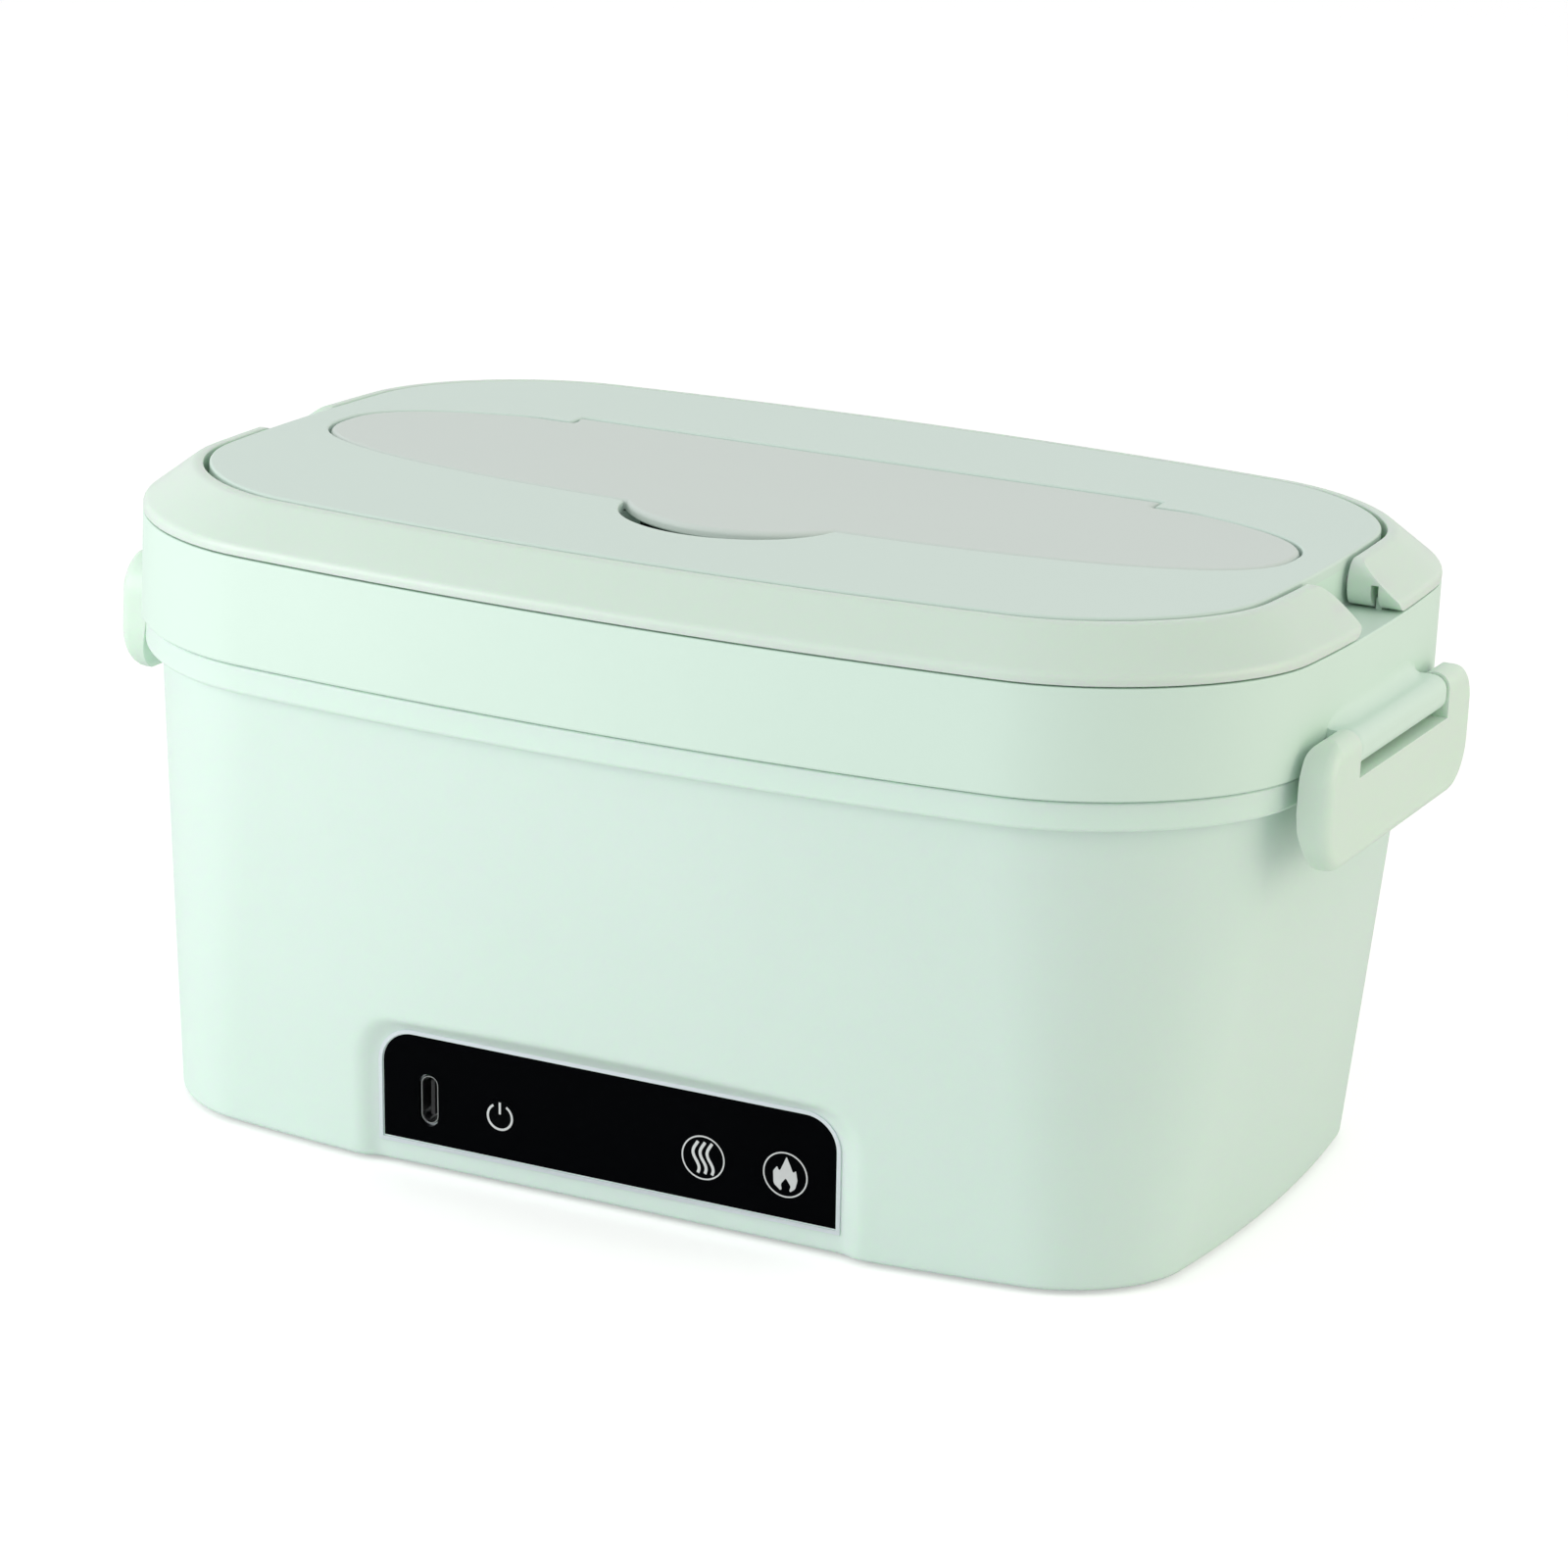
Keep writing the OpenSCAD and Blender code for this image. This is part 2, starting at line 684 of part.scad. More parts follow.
module panel_frame() {
    inside = frame_lip + SLIP;
    color([0.77, 0.8, 0.83]) on_panel() difference() {
        union() {
            door_prism(panel_length / 2, panel_rise, panel_top, panel_corner, -frame_proud, frame_front);
            door_prism(panel_length / 2 - inside, panel_rise + inside, panel_top - inside,
                       panel_corner - inside, frame_front - OVERLAP, overlay_thickness + frame_floor);
            board_posts() cylinder(d = board_post, h = board_front - overlay_thickness);
        }
        door_prism(panel_length / 2 - panel_band, panel_rise + panel_band, panel_top - panel_band,
                   panel_corner - panel_band, -THROUGH, overlay_thickness);
        panel_holes(-THROUGH, overlay_thickness + frame_floor + SLIP);
        board_posts() translate([0, 0, -SLIP])
            cylinder(d = board_pilot, h = board_front - overlay_thickness - frame_floor);
    }
}

// Places its children at the two board posts, pointing from the board to the panel
module board_posts() {
    for (x = [-board_post_x, board_post_x])
        translate([x, board_front, control_rise]) rotate([90, 0, 0]) children();
}

// Openings for the socket, the button and the lights
module panel_holes(y0, y1) {
    usb_cut(usb_width + 2 * SEAT_GAP, usb_height + 2 * SEAT_GAP, y0, y1);
    rod_y(button_diameter + 2 * SLIP, y0, y1, button_x, control_rise);
    for (x = [warm_x, heat_x]) rod_y(light_diameter + 2 * SLIP, y0, y1, x, control_rise);
}

// Upright slot with round ends
module usb_cut(w, h, y0, y1) {
    box(usb_x - w / 2, usb_x + w / 2, y0, y1, control_rise - (h - w) / 2, control_rise + (h - w) / 2);
    for (s = [-1, 1]) rod_y(w, y0, y1, usb_x, control_rise + s * (h - w) / 2);
}

module panel_overlay() {
    inset = panel_band + FIT;
    color([0.02, 0.02, 0.025]) on_panel() difference() {
        door_prism(panel_length / 2 - inset, panel_rise + inset, panel_top - inset, panel_corner - inset,
                   0, overlay_thickness);
        usb_cut(usb_width + 2 * CLEAR, usb_height + 3 * CLEAR, -THROUGH, THROUGH);
        rod_y(button_diameter + 2 * SLIP, -THROUGH, THROUGH, button_x, control_rise);
    }
}

module usb_socket() {
    color([0.75, 0.75, 0.76]) on_panel() difference() {
        usb_cut(usb_width, usb_height, SEAT_GAP, board_front);
        usb_cut(usb_width - 2 * usb_skin, usb_height - 2 * usb_skin, -THROUGH, board_front - usb_floor);
    }
}

module usb_tongue() {
    color([0.08, 0.08, 0.09]) on_panel()
        box(usb_x - usb_skin, usb_x + usb_skin, 2 * overlay_thickness, board_front - usb_floor,
            control_rise - tongue_half, control_rise + tongue_half);
}

module power_button() {
    back = overlay_thickness + frame_floor + SLIP;
    color([0.03, 0.03, 0.035]) on_panel() {
        rod_y(button_diameter, 0, back + SLIP, button_x, control_rise);
        rod_y(button_diameter + 2 * overlay_thickness, back, back + button_flange, button_x, control_rise);
    }
}

module button_switch() {
    color([0.15, 0.15, 0.16]) on_panel() {
        box(button_x - switch_half, button_x + switch_half, board_front - switch_height + switch_plunger,
            board_front, control_rise - switch_half, control_rise + switch_half);
        rod_y(switch_half, board_front - switch_height, board_front - switch_height + switch_plunger + SLIP,
              button_x, control_rise);
    }
}

module control_board() {
    color([0.05, 0.3, 0.15]) on_panel() difference() {
        box(-board_length / 2, board_length / 2, board_front, board_back,
            panel_rise + board_margin, panel_top - board_margin);
        for (x = [-board_post_x, board_post_x])
            rod_y(board_pilot + SOFT_EDGE, board_front - 1, board_back + 1, x, control_rise);
    }
}

module board_connector() {
    color([0.93, 0.93, 0.9]) on_panel()
        box(-wire_x - connector_margin, wire_x + connector_margin, board_back, board_back + connector_back,
            connector_rise - connector_half, connector_rise + connector_half);
}

module board_screws() {
    color([0.6, 0.6, 0.62]) on_panel() for (x = [-board_post_x, board_post_x])
        translate([x, board_back, control_rise]) rotate([90, 0, 0])
            screw(board_pilot - SLIP, 5, 2 * (board_pilot - 2 * SLIP), board_thickness);
}

module status_leds() {
    color([0.95, 0.93, 0.8]) on_panel() for (x = [warm_x, heat_x])
        box(x - led_half, x + led_half, board_front - led_height, board_front,
            control_rise - led_half, control_rise + led_half);
}

module light_guides() {
    color([0.9, 0.92, 0.93]) on_panel() for (x = [warm_x, heat_x])
        rod_y(light_diameter, overlay_thickness, board_front - led_height, x, control_rise);
}

// ---------- Food container ----------

module food_container() {
    color([0.78, 0.79, 0.8]) difference() {
        union() {
            prism(rim(rim_flange_inset), z_rim, z_rim + container_wall);
            loft(bowl(z_container, container_inset, well_taper, z_rim + container_wall / 2));
        }
        loft(bowl(z_container + container_wall, container_inset + container_wall, well_taper,
                  z_rim + container_wall + OVERLAP));
    }
}

// ---------- Lid ----------

module lid_shell() {
    color([0.86, 0.93, 0.89]) difference() {
        union() {
            difference() {
                prism(rim(0), z_seam, z_shelf);
                prism(rim(lid_wall), z_seam - THROUGH, liner_top);
                prism(rim(lid_wall + liner_step), liner_top - OVERLAP, z_shelf - lid_wall);
            }
            prism(rim(deck_inset), z_shelf - lid_wall, z_plate);
            for (s = [-1, 1]) latch_barrel(s);
            on_four(slot_x, pivot_y)
                box(-stop_thickness / 2, stop_thickness / 2, -stop_half, stop_half,
                    z_shelf - OVERLAP, z_shelf + stop_rise);
        }
        difference() {
            prism(rim(deck_inset + 2), z_shelf - lid_wall - THROUGH, z_plate + THROUGH);
            deck_tabs();
            handle_bosses();
        }
        handle_pin_rods(handle_pin_diameter + 2 * FIT, 1);
        for (s = [-1, 1])
            rod_y(latch_pin_diameter + 2 * FIT, -barrel_length, barrel_length, s * barrel_x, barrel_z);
        on_four(deck_post_x, deck_post_y) translate([0, 0, z_shelf - lid_wall - THROUGH])
            cylinder(d = deck_pilot + SOFT_EDGE, h = lid_wall + 2 * THROUGH);
    }
}

// Tabs inside the deck wall that the deck's posts stand on
module deck_tabs() {
    tab = deck_post / 2 + 1;
    on_four(deck_post_x, deck_post_y)
        translate([0, 0, z_shelf - lid_wall]) cylinder(r = tab, h = lid_wall);
    for (sx = [-1, 1]) for (sy = [-1, 1])
        box(sx * deck_post_x - tab, sx * deck_post_x + tab, min(sy * deck_post_y, sy * half_width),
            max(sy * deck_post_y, sy * half_width), z_shelf - lid_wall, z_shelf);
}

module handle_bosses() {
    inner = half_length - deck_inset - handle_pin_inner;
    for (sx = [-1, 1]) for (sy = [-1, 1])
        rod_x(handle_pin_diameter + 2 * tray_wall, min(sx * inner, sx * half_length),
              max(sx * inner, sx * half_length), sy * pivot_y, z_pivot);
}

// Rods on the handles' pivots, grow longer than the pins at the inner end
module handle_pin_rods(d, grow) {
    inner = half_length - deck_inset - handle_pin_inner - grow;
    outer = half_length - ring_inner + handle_pin_reach + SLIP * grow;
    for (sx = [-1, 1]) for (sy = [-1, 1])
        rod_x(d, min(sx * inner, sx * outer), max(sx * inner, sx * outer), sy * pivot_y, z_pivot);
}

// Barrel on the lid wall that a latch turns on, with a hollow fillet above it
module latch_barrel(s) {
    half = barrel_length / 2;
    root = -barrel_out - lid_wall + SOFT_EDGE;
    fillet = concat([[root, 1 - barrel_radius], [0, 1 - barrel_radius]],
                    arc(0, barrel_radius + barrel_out, barrel_out, 270, 180),
                    [[root, barrel_radius + barrel_out]]);
    rod_y(2 * barrel_radius, -half, half, s * barrel_x, barrel_z);
    rod_y(2 * barrel_radius, -half, half, s * barrel_x, barrel_z - barrel_sag);
    box(s * barrel_x - barrel_radius, s * barrel_x + barrel_radius, -half, half,
        barrel_z - barrel_sag, barrel_z);
    prism_y([for (p = fillet) [s * (barrel_x + p[0]), barrel_z + p[1]]], -half, half);
}

module top_deck() {
    front_wall = z_top - recess_depth;
    color([0.8, 0.86, 0.83]) difference() {
        union() {
            prism(rim(deck_inset), z_plate, z_top);
            cover_shape(pocket_rib, z_plate - pocket_rib, z_plate + OVERLAP);
            cover_shape(-ledge + tray_wall, z_tray - tray_wall, z_plate);
            translate([0, recess_y, front_wall - tray_wall])
                cylinder(r = recess_radius + tray_wall, h = recess_depth);
            box(-hinge_length / 2 - hinge_boss, hinge_length / 2 + hinge_boss, hinge_y - hinge_boss,
                hinge_back + pocket_rib, z_top - hinge_bed - pocket_rib, z_plate + OVERLAP);
            on_four(deck_post_x, deck_post_y) translate([0, 0, z_shelf])
                cylinder(d = deck_post, h = z_plate - z_shelf + OVERLAP);
        }
        cover_shape(-ledge, z_tray, z_top + THROUGH);
        cover_shape(cover_gap, z_top - cover_thickness - SLIP, z_top + THROUGH);
        box(-hinge_length / 2 - cover_gap, hinge_length / 2 + cover_gap, cover_back - SOFT_EDGE,
            hinge_back + cover_gap, z_top - hinge_bed, z_top + THROUGH);
        translate([0, recess_y, front_wall]) cylinder(r = recess_radius, h = recess_depth + THROUGH);
        hinge_rods(hinge_pin_diameter + 2 * FIT, SEAT_GAP);
        on_four(deck_post_x, deck_post_y) translate([0, 0, z_shelf - 1])
            cylinder(d = deck_pilot, h = z_plate - z_shelf);
    }
}

// The cover's oval, grown by grow and cut straight in front of the hinge
module cover_shape(grow, z0, z1) {
    reach = cover_width;
    intersection() {
        translate([0, cover_offset, 0])
            prism(superellipse(cover_length / 2 + grow, cover_width / 2 + grow), z0, z1);
        box(-cover_length, cover_length, -reach, cover_back + grow, z0 - 1, z1 + 1);
    }
}

module hinge_rods(d, grow) {
    middle = hinge_length / 2;
    for (s = [-1, 1])
        rod_x(d, s * middle - hinge_pin_length / 2 - grow, s * middle + hinge_pin_length / 2 + grow,
              hinge_y, hinge_z);
}

module cutlery_cover() {
    z_under = z_top - cover_thickness;
    color([0.79, 0.83, 0.81]) difference() {
        union() {
            cover_shape(0, z_under, z_top);
            translate([0, tab_y, z_under]) cylinder(r = tab_radius, h = cover_thickness);
            box(-hinge_length / 2, hinge_length / 2, cover_back - ledge, hinge_y, z_under, z_top);
            rod_x(2 * hinge_radius, -hinge_length / 2, hinge_length / 2, hinge_y, hinge_z);
        }
        hinge_rods(hinge_pin_diameter + 4 * FIT, 2 * SEAT_GAP);
    }
}

module cover_pins() {
    color([0.7, 0.7, 0.72]) hinge_rods(hinge_pin_diameter, 0);
}

module deck_screws() {
    color([0.6, 0.6, 0.62]) on_four(deck_post_x, deck_post_y)
        translate([0, 0, z_shelf - lid_wall])
            screw(deck_pilot - 2 * SLIP, deck_screw_depth, 2 * deck_pilot - 4 * SLIP, deck_screw_head);
}

module lid_liner() {
    plug = container_inset + container_wall + plug_gap;
    color([0.93, 0.95, 0.94]) {
        prism(rim(lid_wall + SEAT_GAP), z_liner, z_liner + liner_wall);
        rim_ring(lid_wall + SEAT_GAP, lid_wall + SEAT_GAP + liner_step, z_liner + OVERLAP, liner_top);
        rim_ring(plug, plug + liner_step, z_rim - plug_reach, z_liner + OVERLAP);
        rim_ring(rim_flange_inset - SEAT_GAP - liner_rib, rim_flange_inset - SEAT_GAP, z_gasket + CLEAR,
                 z_liner + OVERLAP);
    }
}

module lid_gasket() {
    color([0.95, 0.95, 0.93])
        rim_ring(rim_flange_inset + SEAT_GAP, container_inset - SOFT_EDGE, z_gasket, z_liner);
}

// ---------- Handles ----------

module handle_ring() {
    bevel_top = ring_inner - handle_crest;
    difference() {
        loft([[z_ring, rim(CLEAR)],
              [z_ring + CLEAR, rim(0)],
              [z_ring + handle_lip, rim(0)],
              [z_ring + handle_lip + SOFT_EDGE, rim(SEAT_GAP)],
              [z_crest - SOFT_EDGE, rim(bevel_top - 2 * SOFT_EDGE)],
              [z_crest, rim(bevel_top)]]);
        prism(rim(ring_inner), z_ring - THROUGH, z_crest + THROUGH);
    }
}

// Front half of the handle; its arms end in a rounding about the pivots
module handle_half() {
    rise = z_crest - z_pivot - end_radius;
    end = concat([[-1, -end_radius]], arc(0, 0, end_radius, 270, 360), arc(0, rise, end_radius, 0, 90),
                 [[-1, end_radius + rise]]);
    difference() {
        intersection() {
            handle_ring();
            union() {
                box(-half_length - 1, half_length + 1, -half_width - 1, -pivot_y, z_ring - 1, z_crest + 1);
                prism_x([for (p = end) [p[0] - pivot_y, p[1] + z_pivot]], -half_length - 1, half_length + 1);
            }
        }
        handle_pin_rods(handle_pin_diameter + 4 * FIT, 1);
        for (s = [-1, 1])
            box(s * slot_x - stop_slot / 2, s * slot_x + stop_slot / 2, -pivot_y - stop_half - stop_clear, 0,
                z_ring - 1, z_pivot + stop_half + stop_clear);
    }
}

module handle_front() {
    color([0.84, 0.91, 0.87]) handle_half();
}

module handle_back() {
    color([0.84, 0.91, 0.87]) mirror([0, 1, 0]) handle_half();
}

module handle_pins() {
    color([0.7, 0.7, 0.72]) handle_pin_rods(handle_pin_diameter, 0);
}

// ---------- Latches ----------

module latch() {
    tip_back = ear_radius - latch_tip;
    z_tip = -latch_drop;
    half = latch_width / 2;
    inner = tip_back + latch_round;
    foot = z_tip + latch_round;
    shoulder = ear_radius - latch_shoulder;
    side = concat(arc(0, 0, ear_radius, 0, 180),
                  [[-barrel_out, -barrel_out], [-barrel_out, -3 * barrel_out],
                   [CLEAR - barrel_out, -4 * barrel_out]],
                  arc(inner, foot, latch_round, 180, 270, ROUND_STEPS),
                  arc(ear_radius - latch_round, foot, latch_round, 270, 360, ROUND_STEPS));
    face = concat(arc(half - latch_corner, z_tip + latch_corner, latch_corner, 270, 360),
                  arc(half - latch_shoulder, shoulder, latch_shoulder, 0, 90),
                  arc(latch_shoulder - half, shoulder, latch_shoulder, 90, 180),
                  arc(latch_corner - half, z_tip + latch_corner, latch_corner, 180, 270));
    difference() {
        union() {
            intersection() {
                prism_y([for (p = side) [p[0] + barrel_x, p[1] + barrel_z]], -half, half);
                prism_x([for (p = face) [p[0], p[1] + barrel_z]],
                        half_length - barrel_out, barrel_x + barrel_out);
            }
            latch_catch();
        }
        prism(rim(-SOFT_EDGE), z_collar + SOFT_EDGE, barrel_z + 2 * ear_radius);
        box(half_length - THROUGH, barrel_x + barrel_out, -ear_inner, ear_inner,
            barrel_z - barrel_radius - latch_slot, barrel_z + 2 * ear_radius);
        rod_y(latch_pin_diameter + 4 * FIT, -ear_inner - latch_pin_reach - SEAT_GAP,
              ear_inner + latch_pin_reach + SEAT_GAP, barrel_x, barrel_z);
    }
}

// Ridge that catches under the collar
module latch_catch() {
    top = z_collar - CLEAR;
    inner = half_length - body_inset + 3 * CLEAR;
    root = barrel_x - latch_tip / 2 + SOFT_EDGE;
    prism_y([[inner, top], [inner, top - catch_hook], [root, top - catch_depth], [root, top]],
            -catch_width / 2, catch_width / 2);
}

module latch_right() {
    color([0.84, 0.9, 0.84]) latch();
}

module latch_left() {
    color([0.84, 0.9, 0.84]) mirror([1, 0, 0]) latch();
}

module latch_pins() {
    color([0.7, 0.7, 0.72]) for (s = [-1, 1])
        rod_y(latch_pin_diameter, -ear_inner - latch_pin_reach, ear_inner + latch_pin_reach,
              s * barrel_x, barrel_z);
}

outer_shell();
rim_collar();
heating_well();
heater_plate();
heater_film();
insulation_pad();
thermal_cutout();
heater_wires();
base_cover();
base_screws();
feet();
panel_frame();
panel_overlay();
usb_socket();
usb_tongue();
power_button();
button_switch();
control_board();
board_connector();
board_screws();
status_leds();
light_guides();
food_container();
lid_shell();
top_deck();
deck_screws();
lid_liner();
lid_gasket();
handle_front();
handle_back();
handle_pins();
latch_left();
latch_right();
latch_pins();
cutlery_cover();
cover_pins();
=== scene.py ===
"""Electric lunch box with a lift-off lid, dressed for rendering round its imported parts."""

from __future__ import annotations

import logging
import math
from collections.abc import Callable, Iterable, Sequence
from dataclasses import dataclass, field
from enum import Enum

import bmesh
import bpy
from mathutils import Matrix, Vector


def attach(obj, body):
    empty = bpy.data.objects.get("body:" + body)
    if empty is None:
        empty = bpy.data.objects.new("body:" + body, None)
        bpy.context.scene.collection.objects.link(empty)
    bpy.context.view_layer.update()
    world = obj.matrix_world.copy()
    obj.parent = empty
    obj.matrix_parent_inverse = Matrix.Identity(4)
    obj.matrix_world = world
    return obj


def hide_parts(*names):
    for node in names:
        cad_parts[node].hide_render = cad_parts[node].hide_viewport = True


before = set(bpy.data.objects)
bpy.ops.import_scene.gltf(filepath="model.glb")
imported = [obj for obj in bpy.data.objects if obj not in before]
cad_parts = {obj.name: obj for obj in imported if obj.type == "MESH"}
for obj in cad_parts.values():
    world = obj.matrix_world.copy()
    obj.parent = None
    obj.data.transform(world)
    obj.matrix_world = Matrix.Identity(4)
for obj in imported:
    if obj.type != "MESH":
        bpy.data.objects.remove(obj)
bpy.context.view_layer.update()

LOG = logging.getLogger("lunch_box")

# Lengths are in millimetres. The materials, the lamps, the floor and the camera's clipping are in metres.
MM = 0.001
# Points closer than MERGE are one, and FAR is outside the box.
MERGE = 1e-4
FAR = 200.0
# Angle past which an edge shades as sharp, in degrees.
SHARP = 34.0

# Chords in a long side, a short side and a corner of the box's outlines.
LONG_STEPS = 48
SHORT_STEPS = 26
TURN_STEPS = 20

Flat = tuple[float, float]
Corner = tuple[float, float, float]
Point = tuple[float, float, float]
Colour = tuple[float, float, float]


class Body(Enum):
    """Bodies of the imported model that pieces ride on."""

    BASE = "base"
    BUTTON = "power_button"
    CONTAINER = "food_container"
    LID = "lid"
    HANDLE_FRONT = "handle_front"
    HANDLE_BACK = "handle_back"
    LATCH_LEFT = "latch_left"
    LATCH_RIGHT = "latch_right"
    COVER = "cutlery_cover"


class Cut(Enum):
    """Ways to combine two closed shapes."""

    AWAY = "DIFFERENCE"
    KEEP = "INTERSECT"


# ---------------------------------------------------------------- plane curves


def mix(a: float, b: float, t: float) -> float:
    """Value at share t of the way from a to b."""
    return a + (b - a) * t


def spread(a: float, b: float, steps: int) -> list[float]:
    """Values in equal steps from a to b, both among them."""
    return [mix(a, b, i / steps) for i in range(steps + 1)]


def quarter(steps: int) -> list[Flat]:
    """Pairs of distances along a quarter round of radius 1, from 0 and 1 to 1 and 0."""
    turns = [math.radians(90 * i / steps) for i in range(steps + 1)]
    return [(1 - math.cos(t), 1 - math.sin(t)) for t in turns]


def level(points: Iterable[Flat], z: float) -> list[Point]:
    """Plane points, all at one height."""
    return [(x, y, z) for x, y in points]


def soft_max(a: float, b: float, blend: float) -> float:
    """Larger of a and b, rounded where they lie within blend of each other."""
    return max(a, b) + max(blend - abs(a - b), 0.0) ** 2 / (4 * blend)


def arc(x: float, y: float, r: float, start: float, end: float, steps: int = 8) -> list[Flat]:
    """Points along an arc.

    Args:
        x: First coordinate of the centre.
        y: Second coordinate of the centre.
        r: Radius.
        start: First angle, in degrees.
        end: Last angle, in degrees.
        steps: Number of chords.

    Returns:
        The points, both ends among them.
    """
    turns = [math.radians(turn) for turn in spread(start, end, steps)]
    return [(x + r * math.cos(t), y + r * math.sin(t)) for t in turns]


def rounded(corners: Sequence[Corner], closed: bool = True, steps: int = 4) -> list[Flat]:
    """Rounds the corners of a profile.

    Args:
        corners: First and second coordinate and radius of each corner.
        closed: Whether the last corner joins the first.
        steps: Number of chords in each rounding.

    Returns:
        The points of the rounded profile.
    """
    points: list[Flat] = []
    last = len(corners) - 1
    for i, (u, v, r) in enumerate(corners):
        if r <= 0 or (not closed and i in (0, last)):
            points.append((u, v))
            continue
        here = Vector((u, v))
        back = Vector(corners[i - 1][:2]) - here
        ahead = Vector(corners[(i + 1) % len(corners)][:2]) - here
        half = back.angle(ahead) / 2
        run = min(r / math.tan(half), 0.48 * back.length, 0.48 * ahead.length)
        radius = run * math.tan(half)
        way = (back.normalized() + ahead.normalized()).normalized()
        centre = here + way * (radius / math.sin(half))
        start = here + back.normalized() * run - centre
        end = here + ahead.normalized() * run - centre
        first = math.atan2(start.y, start.x)
        turn = (math.atan2(end.y, end.x) - first + math.pi) % math.tau - math.pi
        points += arc(centre.x, centre.y, radius, math.degrees(first), math.degrees(first + turn), steps)
    return points


def bowed(a: float, b: float, r: float, bow_y: float, bow_x: float, front: int = LONG_STEPS) -> list[Flat]:
    """Rounded rectangle whose sides bow out, counter-clockwise from its right corner at the back.

    Args:
        a: Half of its length.
        b: Half of its width.
        r: Radius of its corners.
        bow_y: How far the long sides bow out.
        bow_x: How far the short sides bow out.
        front: Number of chords in the front side.

    Returns:
        The points of the outline.
    """
    half_x, half_y = a - bow_x, b - bow_y
    turns = [arc(sx * (half_x - r), sy * (half_y - r), r, start, start + 90, TURN_STEPS)
             for sx, sy, start in ((1, 1, 0), (-1, 1, 90), (-1, -1, 180), (1, -1, 270))]
    points: list[Flat] = []
    for k, steps in enumerate((LONG_STEPS, SHORT_STEPS, front, SHORT_STEPS)):
        p, q = turns[k][-1], turns[(k + 1) % 4][0]
        points += turns[k] + list(zip(spread(p[0], q[0], steps), spread(p[1], q[1], steps)))[1:-1]
    return [(x + bow_x * (1 - (y / half_y) ** 2) * x / half_x,
             y + bow_y * (1 - (x / half_x) ** 2) * y / half_y) for x, y in points]


def reach(outline: Sequence[Flat], centre: Flat, angle: float) -> float:
    """Distance from a centre to the furthest crossing of an outline, along one direction.

    Args:
        outline: Points of the outline.
        centre: Point that the ray starts from.
        angle: Direction of the ray, in radians.

    Returns:
        The distance, or 0 where the ray misses the outline.
    """
    dx, dy = math.cos(angle), math.sin(angle)
    far = 0.0
    for (x0, y0), (x1, y1) in zip(outline, [*outline[1:], outline[0]]):
        ax, ay, ex, ey = x0 - centre[0], y0 - centre[1], x1 - x0, y1 - y0
        cross = dx * ey - dy * ex
        if abs(cross) < 1e-12:
            continue
        along, share = (ax * ey - ay * ex) / cross, (ax * dy - ay * dx) / cross
        if along > far and -1e-9 <= share <= 1 + 1e-9:
            far = along
    return far


# ---------------------------------------------------------------- mesh kit


def linked(name: str, data: bpy.types.ID) -> bpy.types.Object:
    """Adds an object with the given data to the scene."""
    made = bpy.data.objects.new(name, data)
    bpy.context.scene.collection.objects.link(made)
    return made


